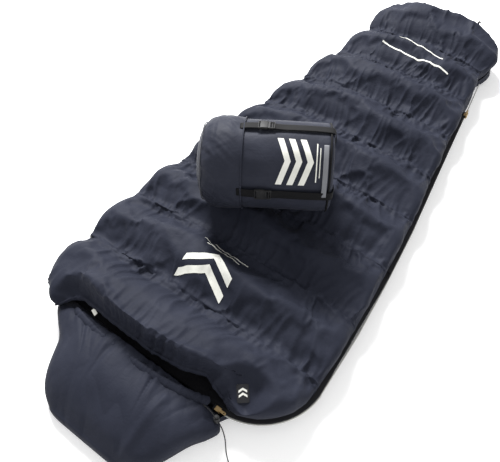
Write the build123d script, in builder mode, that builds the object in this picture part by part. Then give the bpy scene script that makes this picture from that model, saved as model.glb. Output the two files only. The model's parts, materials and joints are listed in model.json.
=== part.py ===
"""Mummy sleeping bag with its compression sack, laid flat on its back.

Frame: +X is the zip side, +Y runs from the head to the foot, +Z is up, and the origin is on the
ground under the middle of the bag. Millimetres.
"""
import os
from math import cos, pi, radians, sin, sqrt, tan

from build123d import *

# ---- the quilted body ----
SEAM_PITCH = 200  # one down chamber, from seam to seam
FOOT_SEAM_Y = 783
SEAM_HALF_WIDTHS = (231, 262, 288, 320, 351, 374, 392, 400)  # foot seam first, chest seam last
CHAMBER_BULGE = 6  # a chamber is this much wider in its middle than at its seams
OPENING_Y = -787  # the edge of the top quilt at the face
NECK_Y = -836  # the end of the bottom quilt, under the hood's edge
FOOT_Y = 1000  # where the end panel closes the foot
BAG_END_Y = 1043  # the outermost point of the foot
BOTTOM_LOFT = 44  # thickness of the bottom quilt
RIM_Z = 58  # lower edge of the top quilt, over the zip
SEAM_CROWN_Z = 130  # top of the quilt at a seam
CHAMBER_CROWN_Z = 142  # top of the quilt in the middle of a chamber
CEILING_Z = 102  # underside of the top quilt
SIDE_THICKNESS = 40  # top quilt at its side edges
BASE_RATIO = 0.84  # the part of the width that touches the ground

# ---- shoulders, as arcs about points inside the body ----
RIGHT_SHOULDER = (231, -619, 170)  # centre x, centre y, radius
LEFT_SHOULDER = (-262, -672, 148)

# ---- the corner of the top quilt that folds open ----
FOLD_RIGHT = (374, -217)  # where the fold meets the zip
FOLD_LEFT = (-250, -787)  # the left end of the face opening
FOLD_Z = 140  # the fold is a crease near the top of the quilt
FOLD_GAP = 1.0  # each side of the fold, below the crease
FOLD_GROOVE_SLOPE = 1.25  # the groove over the crease, half width to height

# ---- the zip ----
ZIP_OFFSET = 12  # from the side seam to the middle of the coil
TAPE_WIDTH = 14
TAPE_THICKNESS = 1.0
LOWER_TAPE_Z = 48
UPPER_TAPE_Z = 53
TAPE_OFFSET = 6  # from the side seam to the middle of a tape
COIL_WIDTH = 5
COIL_OFFSET = 9.5
COIL_THICKNESS = 1.8
COIL_SPACING = 2.1  # from the lower coil up to the upper one
PIPING_OFFSET = 3.4
PIPING_SIZE = (3.6, 2.4)
DRAFT_TUBE_OFFSET = -72
DRAFT_TUBE_SIZE = (34, 9)
TAPE_END_ANGLE = -84  # about the right shoulder's centre
LOWER_TAPE_END_ANGLE = -95
SLIDER_LENGTH = 15
SLIDER_SIZE = (14, 12)
SLIDER_SLOT = (14, 7.6)
SLIDER_Z = 51
STOP_LENGTH = 4
PULL_LENGTH = 24

# ---- the hood ----
HOOD_HINGE_Z = 105
HOOD_STATIONS = ((-840, 262, 105), (-907, 228, 100), (-980, 197, 80), (-1031, 160, 55), (-1043, 125, 40))
HEM_ENDS_X = (-215, 195)
HEM_WIDTH = 22
HEM_Z = (70, 90)
PLEAT_TOP = (122, -840)  # where the pleat's two folds meet, at the hood's edge
PLEAT_FAR_X = (108, 205)  # where they end, at the hood's far edge
CHANNEL_WIDTH = 4  # the drawcord's channel, inside the hem
DRAWCORD_WIDTH = 3.4

# ---- the compression sack ----
SACK_CENTRE = (-33, -228)
SACK_HEADING = 31.2  # degrees from +X, towards the sack's base
SACK_RADIUS = 122
SACK_HALF_LENGTH = 182
LID_SKIRT = 125  # length of the lid's skirt
LID_CLEARANCE = 2.6
LID_THICKNESS = 2.8
STRAP_WIDTH = 25
STRAP_THICKNESS = 1.2
STRAP_ANGLES = (7, 97, 187, 277)
LID_STRAP_RUN = (-85, -25.5)  # along the sack, from its middle
BASE_STRAP_RUN = (-150, 182)
BUCKLE_SIZE = (46, 32, 8.5)
BUCKLE_CENTRE = -2
BUCKLE_BASE_R = 125
LIGHT_STRIP_PLACE = 155  # along the sack, from its middle
LIGHT_STRIP_WIDTH = 20
LIGHT_STRIP_RADII = (124.5, 126.5)
STRIP_START = -65  # degrees round the sack from its near side, positive downwards
STRIP_END = 15
SACK_REST_CLEARANCE = 0.5

os.makedirs("parts", exist_ok=True)


def keep(part, name):
    """Label a finished piece and write it as its own STEP file."""
    part.label = name
    export_step(part, f"parts/{name}.step")


# ---------------------------------------------------------------- the outline of the body
def shoulder_x(shoulder, y, side):
    """The x of a shoulder arc at a given y, on the arc's outer side."""
    centre_x, centre_y, radius = shoulder
    return centre_x + side * sqrt(max(radius**2 - (y - centre_y) ** 2, 0))


def body_half_width(y):
    """The half width of the body between the chest seam and the foot seam."""
    place = (FOOT_SEAM_Y - y) / SEAM_PITCH
    index = min(max(int(place), 0), len(SEAM_HALF_WIDTHS) - 2)
    near = SEAM_HALF_WIDTHS[index]
    far = SEAM_HALF_WIDTHS[index + 1]
    return near + (far - near) * (place - index)


def edge_point(y, offset=0):
    """A point of the right-hand side seam, moved outwards."""
    return (body_half_width(y) + offset, y)


CHEST_SEAM_Y = FOOT_SEAM_Y - SEAM_PITCH * (len(SEAM_HALF_WIDTHS) - 1)

# Each chamber is three stations: (y, left x, right x, how far its crown rises to the full height).
FOOT_CHAMBER = ((FOOT_Y, -200, 200, 0.6), (880, -257, 257, 1), (FOOT_SEAM_Y, -231, 231, 0))
CHAMBERS = [FOOT_CHAMBER]
for seam in range(len(SEAM_HALF_WIDTHS) - 1):
    near_y = FOOT_SEAM_Y - SEAM_PITCH * seam
    near_w = SEAM_HALF_WIDTHS[seam]
    far_w = SEAM_HALF_WIDTHS[seam + 1]
    mid_w = (near_w + far_w) / 2 + CHAMBER_BULGE
    far_y = near_y - SEAM_PITCH
    mid_y = near_y - SEAM_PITCH / 2
    CHAMBERS.append(((near_y, -near_w, near_w, 0), (mid_y, -mid_w, mid_w, 1), (far_y, -far_w, far_w, 0)))


def shoulder_station(y, rise):
    """A station across the shoulders."""
    return (y, shoulder_x(LEFT_SHOULDER, y, -1), shoulder_x(RIGHT_SHOULDER, y, 1), rise)


SHOULDER_YS = (-700, -750, OPENING_Y)
CHEST_CHAMBER = ((CHEST_SEAM_Y, -400, 400, 0), *[shoulder_station(y, 0.7) for y in SHOULDER_YS])
CHAMBERS.append(CHEST_CHAMBER)
NECK_STATION = (NECK_Y, -262, 235, 0)


def across(y):
    """A plane across the bag, with its own x along +X and its own y along +Z."""
    return Plane(origin=(0, y, 0), x_dir=(1, 0, 0), z_dir=(0, -1, 0))


def top_profile(left, right, rise):
    """The arched section of the top quilt, drawn in the current sketch."""
    crown = SEAM_CROWN_Z + rise * (CHAMBER_CROWN_Z - SEAM_CROWN_Z)
    middle = (left + right) / 2
    inner_left = left + SIDE_THICKNESS
    inner_right = right - SIDE_THICKNESS
    with BuildLine() as outline:
        ThreePointArc((left, RIM_Z), (middle, crown), (right, RIM_Z))
        Line((right, RIM_Z), (inner_right, RIM_Z))
        ThreePointArc((inner_right, RIM_Z), (middle, CEILING_Z), (inner_left, RIM_Z))
        Line((inner_left, RIM_Z), (left, RIM_Z))
    make_face(outline.edges())


BASE_DROP = 2  # the sections run this far below the ground, and are then cut flat
SIDE_ROUNDING = 8
SIDE_HEIGHT_RATIO = 0.35


def bottom_profile(left, right):
    """The section of the bottom quilt, with rounded sides; its underside is cut flat afterwards."""
    middle = (left + right) / 2
    base_left = middle + (left - middle) * BASE_RATIO
    base_right = middle + (right - middle) * BASE_RATIO
    side_left = middle + (left - middle) * (1 + BASE_RATIO) / 2 - SIDE_ROUNDING
    side_right = middle + (right - middle) * (1 + BASE_RATIO) / 2 + SIDE_ROUNDING
    side_z = BOTTOM_LOFT * SIDE_HEIGHT_RATIO
    with BuildLine() as outline:
        Line((base_left, -BASE_DROP), (base_right, -BASE_DROP))
        ThreePointArc((base_right, -BASE_DROP), (side_right, side_z), (right, BOTTOM_LOFT))
        Line((right, BOTTOM_LOFT), (left, BOTTOM_LOFT))
        ThreePointArc((left, BOTTOM_LOFT), (side_left, side_z), (base_left, -BASE_DROP))
    make_face(outline.edges())


# ---------------------------------------------------------------- the fold of the top quilt
fold_run = Vector(FOLD_RIGHT[0] - FOLD_LEFT[0], FOLD_RIGHT[1] - FOLD_LEFT[1], 0)
fold_dir = fold_run.normalized()
flap_dir = Vector(fold_dir.Y, -fold_dir.X, 0)
FOLD_MARGIN = 200  # the cutting zones run this far past the fold's right end
FOLD_REACH = 900
GROOVE_DEPTH = 60
fold_start = Vector(FOLD_RIGHT[0], FOLD_RIGHT[1], FOLD_Z) + fold_dir * FOLD_MARGIN
# Own x points to the flap's side, own y points up, and the plane faces back along the fold.
fold_plane = Plane(origin=fold_start, x_dir=flap_dir, z_dir=fold_dir * -1)
FOLD_LENGTH = fold_run.length + 2.5 * FOLD_MARGIN


def fold_zone(side):
    """The space on one side of the fold: 1 is the flap, -1 is the rest of the quilt."""
    with BuildPart(mode=Mode.PRIVATE) as zone:
        with BuildSketch(fold_plane):
            with BuildLine():
                Polyline(
                    (side * FOLD_GAP, -FOLD_Z),
                    (side * FOLD_GAP, 0),
                    (side * (FOLD_GAP + FOLD_GROOVE_SLOPE * GROOVE_DEPTH), GROOVE_DEPTH),
                    (side * FOLD_REACH, GROOVE_DEPTH),
                    (side * FOLD_REACH, -FOLD_Z),
                    close=True,
                )
            make_face()
        extrude(amount=FOLD_LENGTH)
    return zone.part


FLAP_ZONE = fold_zone(1)
BODY_ZONE = fold_zone(-1)
FIRST_SPLIT_CHAMBER = 6  # the chamber just past the fold's right end

# ---------------------------------------------------------------- quilt chambers
for number, stations in enumerate(CHAMBERS):
    with BuildPart() as top_chamber:
        for y, left, right, rise in stations:
            with BuildSketch(across(y)):
                top_profile(left, right, rise)
        loft()
    if number < FIRST_SPLIT_CHAMBER:
        keep(top_chamber.part, f"top_chamber_{number}")
        continue
    with BuildPart() as body_half:
        add(top_chamber.part)
        add(BODY_ZONE, mode=Mode.INTERSECT)
    keep(body_half.part, f"top_chamber_{number}")
    with BuildPart() as flap_half:
        add(top_chamber.part)
        add(FLAP_ZONE, mode=Mode.INTERSECT)
    keep(flap_half.part, f"flap_chamber_{number}")

for number, stations in enumerate(CHAMBERS):
    if number == len(CHAMBERS) - 1:
        stations = (*stations, NECK_STATION)
    with BuildPart() as bottom_chamber:
        for y, left, right, _ in stations:
            with BuildSketch(across(y)):
                bottom_profile(left, right)
        loft()
        split(bisect_by=Plane.XY)
    keep(bottom_chamber.part, f"bottom_chamber_{number}")

# The end panel closes the foot: an oval pad, puffed outwards.
# Each station is (y, half width, lowest, highest).
END_PANEL_STATIONS = ((FOOT_Y + 0.5, 200, 0, 132), (1024, 192, 6, 124), (BAG_END_Y, 150, 28, 98))
END_PANEL_ROUNDING = 0.3
with BuildPart() as end_panel:
    for y, half, low, high in END_PANEL_STATIONS:
        with BuildSketch(across(y)):
            with Locations((0, (low + high) / 2)):
                RectangleRounded(2 * half, high - low, (high - low) * END_PANEL_ROUNDING)
    loft()
keep(end_panel.part, "foot_end_panel")

# ---------------------------------------------------------------- lining
LINING_GAP = 1.5
LINING_THICKNESS = 1.0
LINING_INSET = 6
LINING_TAPER = 2  # the inner face of the lining stops this much nearer the middle
LINING_MARGIN = 14  # the lining stops this far inside the face opening
lining_stations = [stations[-1] for stations in CHAMBERS[:-1]]
lining_stations.append(CHEST_CHAMBER[1])
lining_stations.append((OPENING_Y + LINING_MARGIN, *CHEST_CHAMBER[-1][1:]))
with BuildPart() as lining:
    for y, left, right, _ in lining_stations:
        outer_left = left + SIDE_THICKNESS + LINING_INSET
        outer_right = right - SIDE_THICKNESS - LINING_INSET
        inner_left = outer_left + LINING_TAPER
        inner_right = outer_right - LINING_TAPER
        middle = (left + right) / 2
        top = CEILING_Z - LINING_GAP
        with BuildSketch(across(y)):
            with BuildLine():
                ThreePointArc((outer_left, RIM_Z), (middle, top), (outer_right, RIM_Z))
                Line((outer_right, RIM_Z), (inner_right, RIM_Z))
                ThreePointArc((inner_right, RIM_Z), (middle, top - LINING_THICKNESS), (inner_left, RIM_Z))
                Line((inner_left, RIM_Z), (outer_left, RIM_Z))
            make_face()
    loft(ruled=True)
with BuildPart() as lining_top:
    add(lining.part)
    add(BODY_ZONE, mode=Mode.INTERSECT)
keep(lining_top.part, "lining_top")
with BuildPart() as lining_flap:
    add(lining.part)
    add(FLAP_ZONE, mode=Mode.INTERSECT)
keep(lining_flap.part, "lining_flap")

FLOOR_INSET = 50
with BuildPart() as lining_floor:
    with BuildSketch(Plane.XY.offset(BOTTOM_LOFT)):
        with BuildLine():
            Polyline(
                (-400 + FLOOR_INSET, CHEST_SEAM_Y),
                (-231 + FLOOR_INSET, FOOT_SEAM_Y),
                (231 - FLOOR_INSET, FOOT_SEAM_Y),
                (400 - FLOOR_INSET, CHEST_SEAM_Y),
                (235 - FLOOR_INSET, NECK_Y + 2),
                (-262 + FLOOR_INSET, NECK_Y + 2),
                close=True,
            )
        make_face()
    extrude(amount=LINING_THICKNESS)
keep(lining_floor.part, "lining_floor")

# ---------------------------------------------------------------- the zip along the right-hand side
ZIP_START_Y = FOOT_SEAM_Y - SEAM_PITCH  # the zip starts at the second seam from the foot
STRAIGHT_END_Y = -17  # the stretch that the lower slider runs on is straight
FOLD_TAPE_Y = (-195, -222)  # the upper tape stops and starts again on either side of the fold


def shoulder_point(angle, radius):
    """A point of an arc round the right shoulder."""
    turn = radians(angle)
    return (RIGHT_SHOULDER[0] + radius * cos(turn), RIGHT_SHOULDER[1] + radius * sin(turn))


def side_band(name, z, size, offset, run, end_angle=None):
    """A flat band along the zip line, of a width and a thickness, and round the shoulder to end_angle."""
    width, thickness = size
    from_y, to_y = run
    with BuildPart() as band:
        with BuildSketch(Plane.XY.offset(z)):
            with BuildLine():
                ys = [from_y]
                for y in (STRAIGHT_END_Y, FOLD_RIGHT[1], CHEST_SEAM_Y):
                    if to_y < y < from_y:
                        ys.append(y)
                ys.append(to_y)
                for near, far in zip(ys, ys[1:]):
                    Line(edge_point(near, offset), edge_point(far, offset))
                if end_angle is not None:
                    radius = RIGHT_SHOULDER[2] + offset
                    start = edge_point(CHEST_SEAM_Y, offset)
                    middle = shoulder_point((end_angle + 2) / 2, radius)
                    ThreePointArc(start, middle, shoulder_point(end_angle, radius))
            trace(line_width=width)
        extrude(amount=thickness)
    keep(band.part, name)


WHOLE_ZIP = (ZIP_START_Y, CHEST_SEAM_Y)
BODY_ZIP = (ZIP_START_Y, FOLD_TAPE_Y[0])
FLAP_ZIP = (FOLD_TAPE_Y[1], CHEST_SEAM_Y)
TAPE_SIZE = (TAPE_WIDTH, TAPE_THICKNESS)
side_band("zip_tape_lower", LOWER_TAPE_Z, TAPE_SIZE, TAPE_OFFSET, WHOLE_ZIP, LOWER_TAPE_END_ANGLE)
side_band("zip_tape_upper", UPPER_TAPE_Z, TAPE_SIZE, TAPE_OFFSET, BODY_ZIP)
side_band("zip_tape_flap", UPPER_TAPE_Z, TAPE_SIZE, TAPE_OFFSET, FLAP_ZIP, TAPE_END_ANGLE)
LOWER_COIL_Z = LOWER_TAPE_Z + TAPE_THICKNESS
UPPER_COIL_Z = LOWER_COIL_Z + COIL_SPACING
COIL_SIZE = (COIL_WIDTH, COIL_THICKNESS)
side_band("zip_coil_lower", LOWER_COIL_Z, COIL_SIZE, COIL_OFFSET, WHOLE_ZIP, LOWER_TAPE_END_ANGLE)
side_band("zip_coil_upper", UPPER_COIL_Z, COIL_SIZE, COIL_OFFSET, BODY_ZIP)
side_band("zip_coil_flap", UPPER_COIL_Z, COIL_SIZE, COIL_OFFSET, FLAP_ZIP, TAPE_END_ANGLE)
WHOLE_SIDE = (FOOT_SEAM_Y, CHEST_SEAM_Y)
side_band("side_piping", BOTTOM_LOFT + 1.3, PIPING_SIZE, PIPING_OFFSET, WHOLE_SIDE, LOWER_TAPE_END_ANGLE)
side_band("draft_tube", BOTTOM_LOFT + 1.4, DRAFT_TUBE_SIZE, DRAFT_TUBE_OFFSET, WHOLE_ZIP)


def slider_profile():
    """The section of a slider: a channel open on its inner side, round the coil and the tapes."""
    with Locations((ZIP_OFFSET + 1, SLIDER_Z)):
        RectangleRounded(*SLIDER_SIZE, 1.5)
    with Locations((ZIP_OFFSET - 2, SLIDER_Z)):
        Rectangle(*SLIDER_SLOT, mode=Mode.SUBTRACT)


# The lower slider, on the straight stretch, parked at its foot end.
straight_run = Vector(*edge_point(STRAIGHT_END_Y)) - Vector(*edge_point(ZIP_START_Y))
straight_dir = straight_run.normalized()
straight_out = Vector(-straight_dir.Y, straight_dir.X)
lower_start = Vector(*edge_point(ZIP_START_Y)) + straight_dir * (SLIDER_LENGTH / 2 + STOP_LENGTH + 0.5)
lower_plane = Plane(
    origin=(lower_start.X, lower_start.Y, 0),
    x_dir=(straight_out.X, straight_out.Y, 0),
    z_dir=(straight_dir.X, straight_dir.Y, 0),
)
with BuildPart() as lower_slider:
    with BuildSketch(lower_plane):
        slider_profile()
    extrude(amount=SLIDER_LENGTH / 2, both=True)
keep(lower_slider.part, "lower_slider")

# The upper slider, closed, at the neck end of the shoulder arc.
upper_start = shoulder_point(-90, RIGHT_SHOULDER[2])
upper_plane = Plane(origin=(*upper_start, 0), x_dir=(0, -1, 0), z_dir=(-1, 0, 0))
with BuildPart() as upper_slider:
    with BuildSketch(upper_plane):
        slider_profile()
    extrude(amount=SLIDER_LENGTH / 2, both=True)
keep(upper_slider.part, "upper_slider")

# Pulls: a tab with an eye, lying along the zip behind its slider, on a pin over the slider.
PULL_Z = 57.3
PULL_WIDTH = 7
PULL_THICKNESS = 1.4
PULL_EYE = (5, 1.9)  # from the pull's end, and its radius


def pull_tab(name, slider_plane):
    """A pull tab over a slider, lying back along the zip."""
    tab_plane = Plane(
        origin=slider_plane.origin + slider_plane.x_dir * (ZIP_OFFSET + 2) + Vector(0, 0, PULL_Z),
        x_dir=slider_plane.z_dir * -1,
        z_dir=(0, 0, 1),
    )
    with BuildPart() as tab:
        with BuildSketch(tab_plane):
            with Locations((PULL_LENGTH / 2, 0)):
                RectangleRounded(PULL_LENGTH, PULL_WIDTH, 2.5)
            with Locations((PULL_LENGTH - PULL_EYE[0], 0)):
                Circle(PULL_EYE[1], mode=Mode.SUBTRACT)
        extrude(amount=PULL_THICKNESS)
    keep(tab.part, name)


pull_tab("upper_zip_pull", upper_plane)
pull_tab("lower_zip_pull", lower_plane)

# Stops, one at each end of the coil.
with BuildPart() as zip_stops:
    with BuildSketch(lower_plane.offset(-SLIDER_LENGTH / 2 - STOP_LENGTH - 1)):
        slider_profile()
    extrude(amount=STOP_LENGTH)
    with BuildSketch(upper_plane.offset(SLIDER_LENGTH / 2 + 1)):
        slider_profile()
    extrude(amount=STOP_LENGTH)
keep(zip_stops.part, "zip_stops")

# ---------------------------------------------------------------- the hood
HOOD_BASE_RATIO = 0.88
with BuildPart() as hood_pad:
    for y, half, high in HOOD_STATIONS:
        base = half * HOOD_BASE_RATIO
        turn = (half + base) / 2 + half * 0.03
        side_z = high / 2
        with BuildSketch(across(y)):
            with BuildLine():
                Line((-base, 0), (base, 0))
                ThreePointArc((base, 0), (turn, side_z * 0.45), (half, side_z))
                ThreePointArc((half, side_z), (0, high), (-half, side_z))
                ThreePointArc((-half, side_z), (-turn, side_z * 0.45), (-base, 0))
            make_face()
    loft()

HOOD_FAR_Y = BAG_END_Y * -1 - 60
HOOD_PANELS = {
    "hood_panel_left": ((-400, -800), PLEAT_TOP, (PLEAT_FAR_X[0], HOOD_FAR_Y), (-400, HOOD_FAR_Y)),
    "hood_gusset": (PLEAT_TOP, (PLEAT_FAR_X[1], HOOD_FAR_Y), (PLEAT_FAR_X[0], HOOD_FAR_Y)),
    "hood_panel_right": (PLEAT_TOP, (400, -800), (400, HOOD_FAR_Y), (PLEAT_FAR_X[1], HOOD_FAR_Y)),
}
for name, outline in HOOD_PANELS.items():
    with BuildPart() as hood_panel:
        add(hood_pad.part)
        with BuildSketch(Plane.XY):
            with BuildLine():
                Polyline(*outline, close=True)
            make_face()
        extrude(amount=2 * HOOD_HINGE_Z, mode=Mode.INTERSECT)
    keep(hood_panel.part, name)

# The hood's front edge is a channel for the drawcord.
HEM_LEFT = (HEM_ENDS_X[0], -812)
HEM_MIDDLE = (0, -826)
HEM_RIGHT = (HEM_ENDS_X[1], -821)
HEM_CENTRE_Z = (HEM_Z[0] + HEM_Z[1]) / 2
with BuildPart() as hood_hem:
    with BuildSketch(Plane.XY.offset(HEM_Z[0])):
        with BuildLine():
            ThreePointArc(HEM_LEFT, HEM_MIDDLE, HEM_RIGHT)
        trace(line_width=HEM_WIDTH)
    extrude(amount=HEM_Z[1] - HEM_Z[0])
    with BuildSketch(Plane.XY.offset(HEM_CENTRE_Z - CHANNEL_WIDTH / 2)):
        with BuildLine():
            ThreePointArc(HEM_LEFT, HEM_MIDDLE, HEM_RIGHT)
        trace(line_width=CHANNEL_WIDTH)
    extrude(amount=CHANNEL_WIDTH, mode=Mode.SUBTRACT)
keep(hood_hem.part, "hood_hem")

# ---------------------------------------------------------------- the hood's drawcord
with BuildPart() as hood_drawcord:
    with BuildSketch(Plane.XY.offset(HEM_CENTRE_Z - DRAWCORD_WIDTH / 2)):
        with BuildLine():
            ThreePointArc(HEM_LEFT, HEM_MIDDLE, HEM_RIGHT)
        trace(line_width=DRAWCORD_WIDTH)
    extrude(amount=DRAWCORD_WIDTH)
keep(hood_drawcord.part, "hood_drawcord")

# The free end leaves the channel, runs straight through the cord lock and falls to the ground.
CORD_DIAMETER = 3.0
CORD_ROUTE = [
    (HEM_RIGHT[0] + 0.5, HEM_RIGHT[1], HEM_CENTRE_Z),
    (220, -820, 80),
    (269, -836.5, 79.5),
    (286, -846, 56),
    (295, -856, 31),
    (304, -867, 8),
    (322, -879, 1.8),
]


def tube(route, diameter, label):
    """A round tube of straight runs joined by tangent arcs as large as the runs allow."""
    points = [Vector(*point) for point in route]
    radii = []
    for before, corner, after in zip(points, points[1:], points[2:]):
        turn = (corner - before).get_angle(after - corner)
        shorter = min((corner - before).length, (after - corner).length)
        radii.append(0.45 * shorter / tan(radians(turn / 2)))
    print(label, "radii", [round(radius, 1) for radius in radii])
    with BuildPart() as cord:
        with BuildLine() as path:
            FilletPolyline(*points, radius=radii)
        wire = path.wire()
        with BuildSketch(Plane(origin=wire @ 0, z_dir=wire % 0)):
            Circle(diameter / 2)
        sweep(path=wire)
    section = pi * diameter**2 / 4
    fill = cord.part.volume / (section * wire.length)
    print(label, "length", round(wire.length, 1), "fill", round(fill, 4))
    return cord.part


keep(tube(CORD_ROUTE, CORD_DIAMETER, "hood cord end"), "hood_cord_end")

# The cord lock: a barrel with a cross hole, and a sprung plunger on top.
LOCK_RADIUS = 7.5
LOCK_Z = (69, 90)
LOCK_ROUNDING = 1.5
LOCK_PLACE = 32  # from the second point of the cord's route
lock_run = Vector(*CORD_ROUTE[2]) - Vector(*CORD_ROUTE[1])
lock_dir = Vector(lock_run.X, lock_run.Y, 0).normalized()
lock_centre = Vector(*CORD_ROUTE[1]) + lock_dir * LOCK_PLACE
PLUNGER_RADIUS = 4.6
PLUNGER_CLEARANCE = 0.4
PLUNGER_POCKET = 7
PLUNGER_SEAT = 3.4  # how far the plunger sits inside the barrel
PLUNGER_REACH = 7
with BuildPart() as cord_lock:
    with BuildSketch(Plane.XY.offset(LOCK_Z[0])):
        with Locations((lock_centre.X, lock_centre.Y)):
            Circle(LOCK_RADIUS)
    extrude(amount=LOCK_Z[1] - LOCK_Z[0])
    fillet(cord_lock.edges().filter_by(GeomType.CIRCLE), LOCK_ROUNDING)
    with BuildSketch(Plane(origin=(lock_centre.X, lock_centre.Y, HEM_CENTRE_Z), z_dir=lock_dir)):
        Circle(CORD_DIAMETER / 2 + 0.5)
    extrude(amount=LOCK_RADIUS + 2, both=True, mode=Mode.SUBTRACT)
    with BuildSketch(Plane.XY.offset(LOCK_Z[1])):
        with Locations((lock_centre.X, lock_centre.Y)):
            Circle(PLUNGER_RADIUS + PLUNGER_CLEARANCE)
    extrude(amount=-PLUNGER_POCKET, mode=Mode.SUBTRACT)
keep(cord_lock.part, "cord_lock_barrel")
with BuildPart() as plunger:
    with BuildSketch(Plane.XY.offset(LOCK_Z[1] - PLUNGER_SEAT)):
        with Locations((lock_centre.X, lock_centre.Y)):
            Circle(PLUNGER_RADIUS)
    extrude(amount=PLUNGER_SEAT + PLUNGER_REACH)
    fillet(plunger.edges().group_by(Axis.Z)[-1], LOCK_ROUNDING)
keep(plunger.part, "cord_lock_plunger")

# ---------------------------------------------------------------- the tab over the end of the zip
TAB_CENTRE = Vector(266, -746, 92)
TAB_NORMAL = Vector(0.33, -0.4, 1)
TAB_DOWNHILL = Vector(0.64, -0.768, -0.52)
TAB_SIZE = (44, 30, 1.6)
PATCH_SIZE = (30, 24, 1.2)
PATCH_LIFT = 3.0
TAB_LIFT = 4.8
tab_plane = Plane(origin=TAB_CENTRE, x_dir=TAB_DOWNHILL, z_dir=TAB_NORMAL)
with BuildPart() as fastener_patch:
    with BuildSketch(tab_plane.offset(PATCH_LIFT)):
        RectangleRounded(PATCH_SIZE[0], PATCH_SIZE[1], 3)
    extrude(amount=PATCH_SIZE[2])
keep(fastener_patch.part, "zip_tab_hook_patch")
with BuildPart() as zip_tab:
    with BuildSketch(tab_plane.offset(TAB_LIFT)):
        RectangleRounded(TAB_SIZE[0], TAB_SIZE[1], 4)
    extrude(amount=TAB_SIZE[2])
keep(zip_tab.part, "zip_end_tab")

# ---------------------------------------------------------------- hanging loops at the foot
LOOP_XS = (-118, 118)
LOOP_FOOT = (1014, 132)  # y and z of the middle of a loop's foot
LOOP_RADIUS = 12
LOOP_THICKNESS = 1.5
LOOP_WIDTH = 8
with BuildPart() as hang_loops:
    for x in LOOP_XS:
        with BuildSketch(Plane(origin=(x, *LOOP_FOOT), x_dir=(0, 1, 0), z_dir=(1, 0, 0))):
            Circle(LOOP_RADIUS)
            Circle(LOOP_RADIUS - LOOP_THICKNESS, mode=Mode.SUBTRACT)
            with Locations((0, -LOOP_RADIUS)):
                Rectangle(2 * LOOP_RADIUS, 2 * LOOP_RADIUS, mode=Mode.SUBTRACT)
        extrude(amount=LOOP_WIDTH / 2, both=True)
keep(hang_loops.part, "foot_hang_loops")

# ---------------------------------------------------------------- the compression sack
SACK_CENTRE_Z = CHAMBER_CROWN_Z + SACK_REST_CLEARANCE + BUCKLE_BASE_R + BUCKLE_SIZE[2] + 1.5
heading = radians(SACK_HEADING)
sack_axis = Vector(cos(heading), sin(heading), 0)
sack_near = Vector(sin(heading), -cos(heading), 0)
sack_origin = Vector(SACK_CENTRE[0], SACK_CENTRE[1], SACK_CENTRE_Z)
sack_plane = Plane(origin=sack_origin, x_dir=sack_near, z_dir=sack_axis)
BODY_START = -SACK_HALF_LENGTH + 4
CAP_START = SACK_HALF_LENGTH - 12
LID_END = -SACK_HALF_LENGTH - 6
LID_INNER = -SACK_HALF_LENGTH + 2
SKIRT_END = LID_END + LID_SKIRT
LID_INNER_R = SACK_RADIUS + LID_CLEARANCE
LID_OUTER_R = LID_INNER_R + LID_THICKNESS

with BuildPart() as sack_body:
    with BuildSketch(sack_plane.offset(BODY_START)):
        Circle(SACK_RADIUS)
    extrude(amount=CAP_START - BODY_START)
keep(sack_body.part, "sack_body")

with BuildPart() as sack_base:
    with BuildSketch(sack_plane.offset(CAP_START + 0.2)):
        Circle(SACK_RADIUS)
    extrude(amount=SACK_HALF_LENGTH - CAP_START - 0.2)
keep(sack_base.part, "sack_base")

with BuildPart() as sack_lid:
    with BuildSketch(sack_plane.offset(LID_END)):
        Circle(LID_OUTER_R)
    extrude(amount=LID_SKIRT)
    with BuildSketch(sack_plane.offset(LID_INNER)):
        Circle(LID_INNER_R)
    extrude(amount=LID_SKIRT, mode=Mode.SUBTRACT)
keep(sack_lid.part, "sack_lid")


def strap_plane(angle):
    """The plane through the sack's axis and one strap: own x along the sack, own y outwards."""
    outward = sack_near * cos(radians(angle)) + Vector(0, 0, 1) * sin(radians(angle))
    return Plane(origin=sack_origin, x_dir=sack_axis, z_dir=sack_axis.cross(outward))


for name, run, radius in (
    ("sack_lid_straps", LID_STRAP_RUN, LID_OUTER_R),
    ("sack_base_straps", BASE_STRAP_RUN, SACK_RADIUS),
):
    with BuildPart() as straps:
        for angle in STRAP_ANGLES:
            with BuildSketch(strap_plane(angle)):
                with Locations(((run[0] + run[1]) / 2, radius + STRAP_THICKNESS / 2)):
                    Rectangle(run[1] - run[0], STRAP_THICKNESS)
            extrude(amount=STRAP_WIDTH / 2, both=True)
    keep(straps.part, name)

with BuildPart() as buckles:
    for angle in STRAP_ANGLES:
        with BuildSketch(strap_plane(angle)):
            with Locations((BUCKLE_CENTRE, BUCKLE_BASE_R + BUCKLE_SIZE[2] / 2)):
                RectangleRounded(BUCKLE_SIZE[0], BUCKLE_SIZE[2], 2)
        extrude(amount=BUCKLE_SIZE[1] / 2, both=True)
keep(buckles.part, "sack_buckles")

# A light strip runs part of the way round the sack near its base, and the sack is carried by it.
with BuildPart() as sack_handle:
    with BuildSketch(sack_plane.offset(LIGHT_STRIP_PLACE - LIGHT_STRIP_WIDTH / 2)):
        with BuildLine():
            strip_radius = sum(LIGHT_STRIP_RADII) / 2
            CenterArc((0, 0), strip_radius, STRIP_START, STRIP_END - STRIP_START)
        trace(line_width=LIGHT_STRIP_RADII[1] - LIGHT_STRIP_RADII[0])
    extrude(amount=LIGHT_STRIP_WIDTH)
keep(sack_handle.part, "sack_handle")
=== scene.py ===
"""Mummy sleeping bag with its compression sack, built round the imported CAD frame."""
import json
import math

import bpy
import numpy as np
from mathutils import Matrix, Vector, noise
from mathutils.bvhtree import BVHTree


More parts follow.
